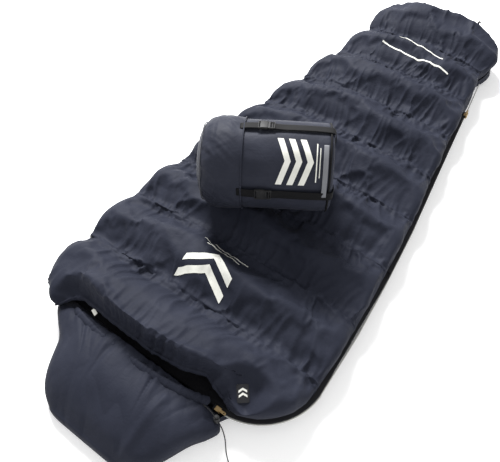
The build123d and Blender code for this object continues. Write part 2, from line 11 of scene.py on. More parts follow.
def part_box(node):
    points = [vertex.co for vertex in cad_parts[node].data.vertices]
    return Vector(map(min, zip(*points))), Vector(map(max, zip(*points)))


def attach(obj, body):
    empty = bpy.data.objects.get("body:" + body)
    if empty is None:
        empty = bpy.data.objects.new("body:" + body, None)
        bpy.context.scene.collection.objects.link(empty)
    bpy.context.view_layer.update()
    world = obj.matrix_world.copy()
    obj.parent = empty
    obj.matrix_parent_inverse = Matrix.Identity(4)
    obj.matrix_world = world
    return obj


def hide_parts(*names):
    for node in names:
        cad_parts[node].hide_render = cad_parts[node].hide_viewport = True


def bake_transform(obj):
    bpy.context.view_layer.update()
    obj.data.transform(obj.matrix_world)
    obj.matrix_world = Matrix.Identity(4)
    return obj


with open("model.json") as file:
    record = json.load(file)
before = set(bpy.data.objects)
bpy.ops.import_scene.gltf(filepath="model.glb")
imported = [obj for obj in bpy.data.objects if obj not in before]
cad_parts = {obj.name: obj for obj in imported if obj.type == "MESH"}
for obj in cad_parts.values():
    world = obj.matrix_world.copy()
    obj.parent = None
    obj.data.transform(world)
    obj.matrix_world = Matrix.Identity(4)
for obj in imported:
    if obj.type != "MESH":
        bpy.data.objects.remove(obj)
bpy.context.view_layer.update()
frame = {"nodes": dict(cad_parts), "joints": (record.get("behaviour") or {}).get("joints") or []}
JOINTS = {joint["name"]: joint for joint in frame["joints"]}
NODES = frame["nodes"]

# ---------------------------------------------------------------- driving sizes, from the frame
CHAMBER_COUNT = 9
CHEST = CHAMBER_COUNT - 1  # the last chamber, at the face opening
SEAM_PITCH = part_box("top_chamber_3")[1].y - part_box("top_chamber_3")[0].y
FOOT_SEAM_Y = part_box("top_chamber_1")[1].y
CHEST_SEAM_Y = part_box("top_chamber_7")[0].y
OPENING_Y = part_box("flap_chamber_8")[0].y
FOOT_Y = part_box("top_chamber_0")[1].y
NECK_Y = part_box("bottom_chamber_8")[0].y
BAG_END_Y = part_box("foot_end_panel")[1].y
HOOD_END_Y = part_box("hood_panel_left")[0].y
BOTTOM_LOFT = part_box("bottom_chamber_3")[1].z
ZIP_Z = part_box("zip_tape_upper")[0].z  # the side seam, where the two quilts meet at the zip
SHOULDER_PIN = Vector(JOINTS["upper_slider_travel"]["pos_m"])
RIGHT_SHOULDER_RADIUS = SHOULDER_PIN.y - OPENING_Y + 0.002
LEFT_SHOULDER = Vector((-0.262, -0.672, 0))
LEFT_SHOULDER_RADIUS = 0.148
SACK_MIDDLE = (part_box("sack_body")[0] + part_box("sack_body")[1]) / 2
SACK_DIR = -Vector(JOINTS["sack_lid_slide"]["axis"]).normalized()
SACK_NEAR = Vector((SACK_DIR.y, -SACK_DIR.x, 0))
SACK_RADIUS = (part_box("sack_body")[1].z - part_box("sack_body")[0].z) / 2
SACK_BODY_SPAN = (-0.178, 0.170)  # the solid body's ends, along the sack from its middle
SACK_CENTRE = SACK_MIDDLE - SACK_DIR * (sum(SACK_BODY_SPAN) / 2)
SIM_FRAMES = 18


def node_points(name):
    """The vertex positions of a CAD node as an array."""
    mesh = NODES[name].data
    co = np.zeros(len(mesh.vertices) * 3, np.float32)
    mesh.vertices.foreach_get("co", co)
    return co.reshape(-1, 3).astype(float)


BODY_POINTS = np.vstack([node_points(f"bottom_chamber_{number}") for number in range(1, CHEST)])


def seam_half_width(y):
    """Half the body's width at a seam, read from the quilt's solids."""
    return float(BODY_POINTS[np.abs(BODY_POINTS[:, 1] - y) < 0.0005, 0].max())


SEAM_YS = [FOOT_SEAM_Y - SEAM_PITCH * seam for seam in range(CHEST)]
SEAM_HALF_WIDTHS = [seam_half_width(y) for y in SEAM_YS]
FOOT_OUTLINE = (
    (FOOT_SEAM_Y, SEAM_HALF_WIDTHS[0]), (0.83, 0.242), (0.88, 0.246), (0.94, 0.226), (0.975, 0.204), (FOOT_Y, 0.172),
)


def side_x(y, side):
    """The x of the side seam at a given y; side is -1 for the left and 1 for the zip side."""
    if y >= FOOT_SEAM_Y:
        return side * float(np.interp(y, [p[0] for p in FOOT_OUTLINE], [p[1] for p in FOOT_OUTLINE]))
    if y >= CHEST_SEAM_Y:
        return side * float(np.interp(y, SEAM_YS[::-1], SEAM_HALF_WIDTHS[::-1]))
    centre, radius = (LEFT_SHOULDER, LEFT_SHOULDER_RADIUS) if side < 0 else (SHOULDER_PIN, RIGHT_SHOULDER_RADIUS)
    reach = math.sqrt(max(radius**2 - (y - centre.y) ** 2, 0))
    return centre.x + side * reach


# ---------------------------------------------------------------- mesh helpers
def smoothstep(t):
    """0 to 1, easing at both ends."""
    t = np.clip(t, 0, 1)
    return t * t * (3 - 2 * t)


def signed_power(values, power):
    """Each value's size to a power, with its sign kept: cosines and sines make rounder or squarer ovals."""
    return np.sign(values) * np.abs(values) ** power


def path_length(points):
    """The length of a polyline."""
    return np.linalg.norm(np.diff(points, axis=0), axis=1).sum()


def add_object(name, data):
    """A new object in the scene."""
    obj = bpy.data.objects.new(name, data)
    bpy.context.scene.collection.objects.link(obj)
    return obj


def select_only(objects):
    """Select some objects, with the first one active."""
    bpy.ops.object.select_all(action="DESELECT")
    for obj in objects:
        obj.select_set(True)
    bpy.context.view_layer.objects.active = objects[0]


def field(a, b, size_a, size_b, seed):
    """Smooth noise between about -1 and 1 at an array of places, stretched along a or b."""
    flat = zip(np.ravel(a), np.ravel(b))
    values = [noise.noise(Vector((x / size_a, y / size_b, seed))) for x, y in flat]
    return np.array(values).reshape(np.shape(a))


def grid_object(name, points, uv=None, wrap=False, caps=False):
    """A mesh of quads through a grid of points, with a UV map of lengths along the cloth."""
    rows, columns = points.shape[:2]
    faces = []
    last = columns if wrap else columns - 1
    for row in range(rows - 1):
        for column in range(last):
            here = row * columns + column
            beside = row * columns + (column + 1) % columns
            faces.append((here, beside, beside + columns, here + columns))
    if caps:
        faces.append(tuple(reversed(range(columns))))
        faces.append(tuple(range((rows - 1) * columns, rows * columns)))
    mesh = bpy.data.meshes.new(name)
    mesh.from_pydata([tuple(p) for p in points.reshape(-1, 3)], [], faces)
    if uv is None:
        along = np.linalg.norm(np.diff(points, axis=0), axis=2).mean(axis=1)
        round_it = np.linalg.norm(np.diff(points, axis=1), axis=2).mean(axis=0)
        uv = np.zeros((rows, columns, 2))
        uv[:, :, 0] = np.concatenate([[0], np.cumsum(round_it)])[None, :]
        uv[:, :, 1] = np.concatenate([[0], np.cumsum(along)])[:, None]
    layer = mesh.uv_layers.new(name="cloth")
    index = np.zeros(len(mesh.loops), np.int32)
    mesh.loops.foreach_get("vertex_index", index)
    layer.data.foreach_set("uv", uv.reshape(-1, 2)[index].astype(np.float32).ravel())
    mesh.shade_smooth()
    return add_object(name, mesh)


def coordinates(obj):
    """The vertex positions of a mesh as an array."""
    co = np.zeros(len(obj.data.vertices) * 3, np.float32)
    obj.data.vertices.foreach_get("co", co)
    return co.reshape(-1, 3).astype(float)


def set_coordinates(obj, co):
    """Write vertex positions back to a mesh."""
    obj.data.vertices.foreach_set("co", co.astype(np.float32).ravel())
    obj.data.update()


def doubled(grid, axis):
    """A grid of values with smooth in-between ones added along an axis."""
    grid = np.moveaxis(grid, axis, 0)
    out = np.zeros((2 * len(grid) - 1, *grid.shape[1:]))
    out[::2] = grid
    out[1::2] = (grid[:-1] + grid[1:]) / 2
    out[3:-3:2] = (9 * (grid[1:-2] + grid[2:-1]) - grid[:-3] - grid[3:]) / 16
    return np.moveaxis(out, 0, axis)


def grid_normals(points):
    """The unit normals of a grid of points."""
    normal = np.cross(np.gradient(points, axis=1), np.gradient(points, axis=0))
    return normal / np.maximum(np.linalg.norm(normal, axis=2, keepdims=True), 1e-12)


def billow(a, b, size_a, size_b, seed):
    """Rounded swellings between sharp creases, from 0 in a crease to about 1."""
    return np.minimum(np.abs(field(a, b, size_a, size_b, seed)) * 3.2, 1) ** 0.8


def gathers(u, gap, seed):
    """The height of the folds that run out from a seam: u is along it and gap is the distance from it."""
    lean = 0.45 * field(u, gap, 0.11, 0.3, seed + 1.7) * gap
    patch = 0.35 + np.clip(0.5 + 1.3 * field(u, gap, 0.10, 0.5, seed + 3.1), 0, 1)
    short = 0.0034 * billow(u + lean, gap, 0.015, 0.16, seed) * np.exp(-gap / 0.030)
    long = 0.0078 * billow(u + 1.6 * lean, gap, 0.034, 0.22, seed + 5.3) * np.exp(-((gap / 0.085) ** 2))
    return (short + long) * patch


def settle(obj, pins, pressure, excess, cap, bending):
    """Let the cloth swell and wrinkle between its pinned points, then keep the result."""
    group = obj.vertex_groups.new(name="pins")
    for weight in np.unique(pins):
        if weight > 0:
            group.add([int(i) for i in np.nonzero(pins == weight)[0]], float(weight), "REPLACE")
    before = coordinates(obj)
    cloth = obj.modifiers.new("cloth", "CLOTH")
    settings = cloth.settings
    settings.quality = 4
    settings.vertex_group_mass = "pins"
    settings.use_pressure = True
    settings.uniform_pressure_force = pressure
    settings.shrink_min = -excess
    settings.shrink_max = -excess
    settings.bending_stiffness = bending
    settings.effector_weights.gravity = 0
    cloth.collision_settings.use_collision = False
    cloth.point_cache.frame_start = 1
    cloth.point_cache.frame_end = SIM_FRAMES
    scene = bpy.context.scene
    for number in range(1, SIM_FRAMES + 1):
        scene.frame_set(number)
    evaluated = obj.evaluated_get(bpy.context.evaluated_depsgraph_get())
    after = np.zeros(len(obj.data.vertices) * 3, np.float32)
    evaluated.data.vertices.foreach_get("co", after)
    after = after.reshape(-1, 3).astype(float)
    obj.modifiers.remove(cloth)
    obj.vertex_groups.remove(group)
    scene.frame_set(1)
    moved = after - before
    length = np.linalg.norm(moved, axis=1, keepdims=True)
    moved *= np.minimum(1, cap / np.maximum(length, 1e-9))
    set_coordinates(obj, before + moved)


def subdivide(obj, levels=1):
    """One smooth subdivision, as a modifier."""
    modifier = obj.modifiers.new("smooth", "SUBSURF")
    modifier.levels = levels
    modifier.render_levels = levels


def resample(curve, count):
    """Points evenly spaced along a polyline, and its length."""
    steps = np.linalg.norm(np.diff(curve, axis=0), axis=1)
    along = np.concatenate([[0], np.cumsum(steps)])
    wanted = np.linspace(0, along[-1], count)
    return np.stack([np.interp(wanted, along, curve[:, axis]) for axis in range(3)], axis=1), along[-1]


def smooth_path(points, spacing):
    """A smooth line through given points, evenly resampled."""
    p = np.array(points, float)
    p = np.vstack([2 * p[0] - p[1], p, 2 * p[-1] - p[-2]])
    line = []
    for a, b, c, d in zip(p, p[1:], p[2:], p[3:]):
        bend = 2 * a - 5 * b + 4 * c - d
        twist = 3 * b - a - 3 * c + d
        for t in np.linspace(0, 1, 24, endpoint=False):
            line.append(0.5 * (2 * b + (c - a) * t + bend * t**2 + twist * t**3))
    line = np.array([*line, p[-2]])
    return resample(line, max(int(path_length(line) / spacing), 3))[0]


def tube(name, path, half_width, half_height, sides=12, up=(0, 0, 1), squareness=1.0, taper=0):
    """A closed tube of an oval or squarish section along a path, its halves fixed or one for each point."""
    count = len(path)
    tangent = np.gradient(path, axis=0)
    tangent /= np.linalg.norm(tangent, axis=1, keepdims=True)
    ups = np.broadcast_to(np.array(up, float), path.shape)
    side = np.cross(tangent, ups)
    side /= np.linalg.norm(side, axis=1, keepdims=True)
    high = np.cross(side, tangent)
    angle = np.linspace(0, 2 * math.pi, sides, endpoint=False) + math.pi / sides
    across = signed_power(np.cos(angle), squareness)
    rise = signed_power(np.sin(angle), squareness)
    width = np.broadcast_to(half_width, count).astype(float).copy()
    height = np.broadcast_to(half_height, count).astype(float).copy()
    for step in range(taper):
        share = math.sin((step + 0.5) / taper * math.pi / 2)
        for end in (step, -1 - step):
            width[end] *= share
            height[end] *= share
    points = path[:, None, :] + side[:, None, :] * (width[:, None] * across[None, :])[:, :, None]
    points = points + high[:, None, :] * (height[:, None] * rise[None, :])[:, :, None]
    return grid_object(name, points, wrap=True, caps=True)


def join(name, objects):
    """Several meshes as one piece."""
    select_only(objects)
    bpy.ops.object.join()
    objects[0].name = name
    objects[0].data.name = name
    return objects[0]


def rounded_box(name, centre, axes, size, bevel):
    """A box with rounded edges, along three given axes."""
    corners = [(x, y, z) for x in (-0.5, 0.5) for y in (-0.5, 0.5) for z in (-0.5, 0.5)]
    points = []
    for corner in corners:
        steps = (Vector(axis) * (share * side) for axis, share, side in zip(axes, corner, size))
        points.append(Vector(centre) + sum(steps, Vector()))
    faces = [(0, 1, 3, 2), (4, 6, 7, 5), (0, 4, 5, 1), (2, 3, 7, 6), (0, 2, 6, 4), (1, 5, 7, 3)]
    mesh = bpy.data.meshes.new(name)
    mesh.from_pydata(points, [], faces)
    obj = add_object(name, mesh)
    modifier = obj.modifiers.new("bevel", "BEVEL")
    modifier.width = bevel
    modifier.segments = 3
    select_only([obj])
    bpy.ops.object.modifier_apply(modifier="bevel")
    obj.data.shade_smooth()
    return obj


def finish_piece(obj, material, body=None, replaces=()):
    """The material, slot and body of a piece, and the CAD nodes that it stands for."""
    obj.data.materials.append(material)
    if body:
        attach(obj, body)
    if replaces:
        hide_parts(*replaces)
    return obj


def follow_fold(obj):
    """Bake the piece's placement into its mesh."""
    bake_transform(obj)


# ---------------------------------------------------------------- materials
def new_material(name, roughness, specular=0.5, metallic=0.0):
    """A node material with its shader's uniform values set."""
    material = bpy.data.materials.new(name)
    material.use_nodes = True
    tree = material.node_tree
    shader = tree.nodes["Principled BSDF"]
    shader.inputs["Roughness"].default_value = roughness
    shader.inputs["Specular IOR Level"].default_value = specular
    shader.inputs["Metallic"].default_value = metallic
    return material, tree, shader


def add_node(tree, kind, **inputs):
    """A node with its inputs set by name."""
    node = tree.nodes.new(kind)
    for key, value in inputs.items():
        node.inputs[key.replace("_", " ")].default_value = value
    return node


def mottle(tree, shader, dark, light, scale, space="Object"):
    """Colour that drifts between two tones."""
    place = tree.nodes.new("ShaderNodeTexCoord")
    tone = add_node(tree, "ShaderNodeTexNoise", Scale=scale, Detail=5.0, Roughness=0.6)
    tree.links.new(place.outputs[space], tone.inputs["Vector"])
    ramp = tree.nodes.new("ShaderNodeValToRGB")
    ramp.color_ramp.elements[0].position = 0.32
    ramp.color_ramp.elements[1].position = 0.68
    ramp.color_ramp.elements[0].color = (*dark, 1)
    ramp.color_ramp.elements[1].color = (*light, 1)
    tree.links.new(tone.outputs["Fac"], ramp.inputs["Fac"])
    tree.links.new(ramp.outputs["Color"], shader.inputs["Base Color"])
    return place


def bump(tree, height, distance, strength, under=None):
    """A bump from a height socket, over another bump if there is one."""
    node = tree.nodes.new("ShaderNodeBump")
    node.inputs["Strength"].default_value = strength
    node.inputs["Distance"].default_value = distance
    tree.links.new(height, node.inputs["Height"])
    if under is not None:
        tree.links.new(under, node.inputs["Normal"])
    return node.outputs["Normal"]


def woven(tree, place, thread, space):
    """The height of a plain weave of a given thread spacing."""
    waves = []
    for direction in ("X", "Y"):
        wave = add_node(tree, "ShaderNodeTexWave", Scale=1 / (thread * 20), Distortion=0.4)
        wave.bands_direction = direction
        tree.links.new(place.outputs[space], wave.inputs["Vector"])
        waves.append(wave)
    height = tree.nodes.new("ShaderNodeMath")
    height.operation = "MAXIMUM"
    for number, wave in enumerate(waves):
        tree.links.new(wave.outputs["Fac"], height.inputs[number])
    return height.outputs[0]


def cloth_material(name, dark, light, roughness, sheen, thread=0.0012, crease=0.0, space="UV", specular=0.35):
    """Woven cloth: a fine weave, a slow change of tone, and small creases."""
    material, tree, shader = new_material(name, roughness, specular)
    place = mottle(tree, shader, dark, light, 9.0)
    shader.inputs["Sheen Weight"].default_value = sheen
    shader.inputs["Sheen Roughness"].default_value = 0.4
    normal = bump(tree, woven(tree, place, thread, space), 0.0002, 0.25)
    if crease:
        for scale, share in ((26.0, 1.0), (85.0, 0.35)):
            creases = add_node(tree, "ShaderNodeTexNoise", Scale=scale, Detail=4.0, Roughness=0.5, Distortion=0.8)
            tree.links.new(place.outputs["Object"], creases.inputs["Vector"])
            normal = bump(tree, creases.outputs["Fac"], crease * share, 0.5, normal)
    tree.links.new(normal, shader.inputs["Normal"])
    return material


def moulded_material(name, dark, light, roughness, grain, distance, metallic=0.0, specular=0.5):
    """Moulded plastic or cast metal, with a fine grain and worn tones."""
    material, tree, shader = new_material(name, roughness, specular, metallic)
    place = mottle(tree, shader, dark, light, 120.0)
    speckle = add_node(tree, "ShaderNodeTexNoise", Scale=grain, Detail=3.0)
    tree.links.new(place.outputs["Object"], speckle.inputs["Vector"])
    tree.links.new(bump(tree, speckle.outputs["Fac"], distance, 0.6), shader.inputs["Normal"])
    return material


# cloth: its dark and light tones, roughness and sheen
WEB_THREAD = 0.0018
SHELL = cloth_material("shell_nylon", (0.0170, 0.0190, 0.0290), (0.0235, 0.0260, 0.0385), 0.60, 0.01,
                       crease=0.003, specular=0.05)
LINING = cloth_material("lining_nylon", (0.006, 0.006, 0.008), (0.011, 0.011, 0.013), 0.62, 0.0,
                        crease=0.004, specular=0.08)
# the sack's own navy nylon, its tones painted lighter than the shell's to stand for the light that falls on the sack
SACK_CLOTH_PAINTED_LIGHTER = cloth_material("sack_nylon_painted_lighter", (0.0200, 0.0220, 0.0320), (0.0300, 0.0325, 0.0460), 0.55, 0.01,
                            crease=0.003, specular=0.06)
WEBBING = cloth_material("black_webbing", (0.0035, 0.0035, 0.004), (0.008, 0.008, 0.009), 0.7, 0.0,
                         thread=WEB_THREAD, space="Object", specular=0.12)
LIGHT_WEBBING = cloth_material("light_webbing", (0.13, 0.135, 0.15), (0.20, 0.205, 0.22), 0.6, 0.1,
                               thread=WEB_THREAD, space="Object")
PIPING = cloth_material("light_piping", (0.42, 0.42, 0.40), (0.58, 0.58, 0.55), 0.5, 0.1, space="Object")
LID_PIPING = cloth_material("lid_piping", (0.060, 0.062, 0.075), (0.085, 0.087, 0.100), 0.55, 0.1, space="Object")
TAPE = cloth_material("zip_tape_twill", (0.005, 0.005, 0.007), (0.010, 0.010, 0.013), 0.7, 0.02, space="Object")
CORD_BRAID = cloth_material("cord_braid", (0.010, 0.010, 0.012), (0.030, 0.030, 0.034), 0.65, 0.1,
                            thread=0.0009, space="Object")
PRINT = cloth_material("pale_print", (0.66, 0.66, 0.60), (0.80, 0.80, 0.75), 0.55, 0.0, space="Object")
HOOK = cloth_material("hook_and_loop_pile", (0.012, 0.012, 0.014), (0.024, 0.024, 0.028), 0.9, 0.2,
                      thread=0.0016, crease=0.002, space="Object")
BRASS = moulded_material("antique_brass", (0.30, 0.20, 0.09), (0.52, 0.38, 0.20), 0.38, 300.0, 0.0002, metallic=1.0)
PLASTIC = moulded_material("black_plastic", (0.010, 0.010, 0.011), (0.020, 0.020, 0.021), 0.55, 900.0, 0.0001,
                           specular=0.2)
COIL = moulded_material("coil_plastic", (0.010, 0.010, 0.012), (0.022, 0.022, 0.026), 0.4, 700.0, 0.0001)

# ---------------------------------------------------------------- camera, light and floor
CAMERA_AT = Vector((0.6373, -1.1993, 1.4573))
CAMERA_FORWARD = Vector((-0.37497, 0.49793, -0.78196))
CAMERA_UP = Vector((-0.45672, 0.63481, 0.62323))
CAMERA_LENS = 42.55
FLOOR_HALF = 12
FLOOR_GLOW = 0.35
SKY_STRENGTH = 0.6


def make_camera():
    """The camera, above the head end on the zip side."""
    data = bpy.data.cameras.new("camera")
    data.lens = CAMERA_LENS
    data.sensor_width = 36
    data.clip_start = 0.05
    camera = add_object("camera", data)
    back = -CAMERA_FORWARD.normalized()
    right = CAMERA_UP.cross(back).normalized()
    turn = Matrix((right, back.cross(right), back)).transposed().to_4x4()
    camera.matrix_world = Matrix.Translation(CAMERA_AT) @ turn
    bpy.context.scene.camera = camera


def area_light(name, place, target, size, power):
    """A soft area light aimed at a point."""
    data = bpy.data.lights.new(name, "AREA")
    data.shape = "SQUARE"
    data.size = size
    data.energy = power
    light = add_object(name, data)
    light.location = place
    light.rotation_euler = (Vector(target) - Vector(place)).to_track_quat("-Z", "Y").to_euler()


def make_stage():
    """A plain pale floor and a bright even sky."""
    corners = [(x * FLOOR_HALF, y * FLOOR_HALF, 0) for x, y in ((-1, -1), (1, -1), (1, 1), (-1, 1))]
    mesh = bpy.data.meshes.new("floor")
    mesh.from_pydata(corners, [], [(0, 1, 2, 3)])
    floor = add_object("floor", mesh)
    floor.location.z = -0.0005
    material, _, shader = new_material("floor_white", 0.9)
    shader.inputs["Base Color"].default_value = (0.88, 0.88, 0.88, 1)
    shader.inputs["Emission Color"].default_value = (1, 1, 1, 1)
    shader.inputs["Emission Strength"].default_value = FLOOR_GLOW
    mesh.materials.append(material)
    world = bpy.data.worlds.new("sky")
    world.use_nodes = True
    sky = world.node_tree.nodes["Background"]
    sky.inputs["Color"].default_value = (1, 1, 1, 1)
    sky.inputs["Strength"].default_value = SKY_STRENGTH
    bpy.context.scene.world = world
    area_light("key", (-3.4, 2.9, 4.6), (0, -0.2, 0.1), 2.0, 1050)
    area_light("fill", (2.4, -2.0, 2.2), (0, -0.3, 0.1), 2.5, 25)
    bpy.context.scene.view_settings.view_transform = "Standard"


make_camera()
make_stage()

# ---------------------------------------------------------------- the hood cord's free end
CORD_ROUTE = (
    (0.1955, -0.821, 0.080),
    (0.220, -0.820, 0.080),
    (0.269, -0.8365, 0.0795),
    (0.286, -0.846, 0.056),
    (0.295, -0.856, 0.031),
    (0.304, -0.867, 0.008),
    (0.322, -0.879, 0.0018),
)
CORD_DIAMETER = 0.003
KNOT_SCALE = 0.0013


def knot_path(centre, size):
    """An overhand knot as a closed trefoil, lying flat."""
    turn = np.linspace(0, 2 * math.pi, 60)
    x = np.sin(turn) + 2 * np.sin(2 * turn)
    y = np.cos(turn) - 2 * np.cos(2 * turn)
    z = -np.sin(3 * turn)
    return np.array(centre) + np.stack([x, y, z], axis=1) * size


def make_cord():
    """The free end of the hood's drawcord, with its knot."""
    data = bpy.data.curves.new("hood_cord_line", "CURVE")
    data.dimensions = "3D"
    data.bevel_depth = CORD_DIAMETER / 2
    data.bevel_resolution = 3
    spline = data.splines.new("NURBS")
    spline.points.add(len(CORD_ROUTE) - 1)
    for point, place in zip(spline.points, CORD_ROUTE):
        point.co = (*place, 1)
    spline.order_u = 3
    spline.use_endpoint_u = True
    spline.resolution_u = 16
    line = add_object("hood_cord_line", data)
    finish_piece(line, CORD_BRAID, "hood", ["hood_cord_end"])
    end = Vector(CORD_ROUTE[-1])
    path = knot_path(end + Vector((0.003, -0.002, 0.0022)), KNOT_SCALE)
    knot = tube("hood_cord_knot", path, KNOT_SCALE, KNOT_SCALE, sides=8)
    finish_piece(knot, CORD_BRAID, "hood")


make_cord()

# ---------------------------------------------------------------- the top quilt's shell
ROW_PITCH = 0.0095
TOP_COLUMNS = 96
SEAM_CROWN = 0.108
FOOT_SEAM_CROWN = 0.118
FOOT_CROWN = 0.134
CHEST_CROWN = 0.114
LIP_CROWN = 0.124
LIP_RADIUS = 0.012
LIP_ROWS = 6
PUFF = 0.050
CHEST_PUFF = 0.062
CHEST_LESS = (0.9, 0.5)  # the chest chamber bulges less at its sides
SIDE_OVERHANG = 0.009  # the shell hangs over the zip even at a seam
TAB_DEPTH = 0.0015  # how far the shell lies under the zip's tab
SACK_CLEARANCE = 0.0125  # between the sack's cloth and the dent that it lies in
SACK_DENT = (-0.290, 0.182)  # the dent's ends along the sack, with room for its lid to slide out
SHOULDER_BULGES = (  # centre, radius, side, bulge and the bulge's share in x
    (SHOULDER_PIN, RIGHT_SHOULDER_RADIUS, 1, 0.012, 0.4),
    (LEFT_SHOULDER, LEFT_SHOULDER_RADIUS, -1, 0.034, 0.05),
)
SIDE_PUFF = (0.014, 0.012)  # on the left and on the zip side
SEAM_CROWDING = 0.55  # rows are closer together near a seam
SIDE_RAMP = 0.035  # the swelling fades out this far from the side seams
GROOVE_DEPTH = 0.006  # a seam's thread pulls the shell in
GROOVE_WIDTH = 0.009
DENT_SOFTNESS = 0.006  # the shell rounds into a dent over this height
SEAM_WANDER = 0.007
SETTLE = {"pressure": 1.6, "excess": 0.018, "cap": 0.014, "bending": 0.5}
LEFT_FULLNESS = 0.36  # a lower power makes a fuller side
RIGHT_FULLNESS = 0.6
CHAMBER_BOUNDS = [FOOT_Y, *SEAM_YS, OPENING_Y]
LIP_LINE = (
    (-0.300, -0.812), (-0.262, -0.790), (-0.236, -0.777), (-0.150, -0.786), (0.022, -0.793),
    (0.109, -0.781), (0.168, -0.759), (0.240, -0.780), (0.257, -0.787),
)
LIP_LEFT_Y = LIP_LINE[0][1]


def crown_height(y):
    """The height of the quilt's seams along its middle."""
    return float(np.interp(y, (OPENING_Y, CHEST_SEAM_Y, -0.2, FOOT_SEAM_Y, FOOT_Y),
                           (LIP_CROWN, CHEST_CROWN, SEAM_CROWN, FOOT_SEAM_CROWN, FOOT_CROWN)))


def arch(left, right, y, crown, count):
    """Points across the quilt from the left side seam to the right, over an arch that is fuller on its left."""
    middle = (left + right) / 2
    half = (right - left) / 2
    angle = np.linspace(-math.pi / 2, math.pi / 2, 200)
    across = signed_power(np.sin(angle), 0.9)
    left_power = LEFT_FULLNESS + (RIGHT_FULLNESS - LEFT_FULLNESS) * smoothstep((CHEST_SEAM_Y + 0.10 - y) / 0.15)
    rise = np.abs(np.cos(angle)) ** np.where(angle < 0, left_power, RIGHT_FULLNESS)
    curve = np.stack([middle + half * across, np.full_like(angle, y), ZIP_Z + (crown - ZIP_Z) * rise], axis=1)
    return resample(curve, count)


def outward(points):
    """The outward normals of a section across the bag, in its own plane."""
    step = np.gradient(points, axis=0)
    normal = np.stack([-step[:, 2], np.zeros(len(points)), step[:, 0]], axis=1)
    return normal / np.linalg.norm(normal, axis=1, keepdims=True)


def chamber_rows(pitch):
    """The rows of the quilt as (chamber, share of the way from its foot seam), closer near the seams."""
    rows = []
    for chamber, (near, far) in enumerate(zip(CHAMBER_BOUNDS, CHAMBER_BOUNDS[1:])):
        steps = max(int(round((near - far) / pitch)), 8)
        for step in range(steps):
            t = step / steps
            rows.append((chamber, t - SEAM_CROWDING * math.sin(2 * math.pi * t) / (2 * math.pi)))
    rows.append((CHEST, 1.0))
    return rows


def puff_share(chamber, share):
    """How far a chamber swells at a place along it, from 0 to 1."""
    if chamber == CHEST and share > 0.5:
        return 1 - (2 * share - 1) ** 7
    if chamber == 0 and share < 0.5:
        return 1 - (1 - 2 * share) ** 5
    return 1 - abs(2 * share - 1) ** 2.1


def sack_floor(x, y):
    """The height of the underside of the sack over a place, with room for its lid to slide out."""
    across = (x - SACK_CENTRE.x) * SACK_NEAR.x + (y - SACK_CENTRE.y) * SACK_NEAR.y
    along = (x - SACK_CENTRE.x) * SACK_DIR.x + (y - SACK_CENTRE.y) * SACK_DIR.y
    radius = SACK_RADIUS + SACK_CLEARANCE
    inside = np.abs(across) < radius
    height = SACK_CENTRE.z - np.sqrt(np.maximum(radius**2 - across**2, 0))
    height = np.where(inside, height, 10.0)
    beyond = np.maximum(np.maximum(along - SACK_DENT[1], SACK_DENT[0] - along), 0)
    return height + beyond * 1.4


def over_the_zip(points):
    """Round the shoulders, the shell bulges outwards over the zip."""
    for centre, radius, side, bulge, share in SHOULDER_BULGES:
        out_x = points[:, :, 0] - centre.x
        out_y = points[:, :, 1] - centre.y
        reach = np.hypot(out_x, out_y)
        corner = smoothstep(-out_y / 0.09) * smoothstep(side * out_x / 0.05)
        corner = corner * smoothstep((reach / radius - 0.72) / 0.2)
        height = np.sin(np.clip((points[:, :, 2] - ZIP_Z) / 0.085, 0, 1) * math.pi) ** 0.7
        push = bulge * corner * height / np.maximum(reach, 0.01)
        points[:, :, 0] += out_x * push * share
        points[:, :, 1] += out_y * push
    return points


def under_loads(points):
    """The shell's heights, pressed down under the sack and under the zip's hook-and-loop tab."""
    limit = sack_floor(points[:, :, 0], points[:, :, 1])
    tab = node_points("zip_end_tab")
    slope = np.linalg.lstsq(np.column_stack([tab[:, :2], np.ones(len(tab))]), tab[:, 2], rcond=None)[0]
    middle = (tab.min(axis=0) + tab.max(axis=0)) / 2
    half = (tab.max(axis=0) - tab.min(axis=0)) / 2
    off_x = np.maximum(np.abs(points[:, :, 0] - middle[0]) - half[0], 0)
    off_y = np.maximum(np.abs(points[:, :, 1] - middle[1]) - half[1], 0)
    plane = slope[0] * points[:, :, 0] + slope[1] * points[:, :, 1] + slope[2]
    limit = np.minimum(limit, plane - TAB_DEPTH + 0.9 * np.hypot(off_x, off_y))
    over = np.maximum(points[:, :, 2] - limit + DENT_SOFTNESS, 0)
    return points[:, :, 2] - over + DENT_SOFTNESS * (1 - np.exp(-over / DENT_SOFTNESS))


def lip_ends():
    """The y at which each column of the chest chamber ends, along the face opening."""
    curve, _ = arch(side_x(LIP_LEFT_Y, -1), side_x(OPENING_Y, 1), OPENING_Y, LIP_CROWN, TOP_COLUMNS)
    return np.interp(curve[:, 0], *zip(*LIP_LINE))


def chamber_lift(chamber, share, section, u, length):
    """How far the shell swells out of its section in each column; u is the distance from the middle."""
    ys = section[:, 1]
    swell = puff_share(chamber, share)
    side = np.clip(np.abs(outward(section)[:, 0]), 0, 1)
    uneven = 1 + 0.25 * field(u, ys, 0.16, 0.10, 4.0 + chamber)
    flank = 1 - np.where(u < 0, 0.3, 0.35) * smoothstep((2 * np.abs(u) / length - 0.4) / 0.45)
    bulge = (SIDE_OVERHANG + np.where(u < 0, *SIDE_PUFF) * swell) * side
    lift = (CHEST_PUFF if chamber == CHEST else PUFF) * flank * swell * uneven * (1 - side) + bulge
    if chamber == CHEST:
        lift = lift - bulge * np.where(u < 0, *CHEST_LESS)
    return lift + 0.002 * field(u + 0.55 * ys, ys, 0.05, 0.22, 31.0) * swell


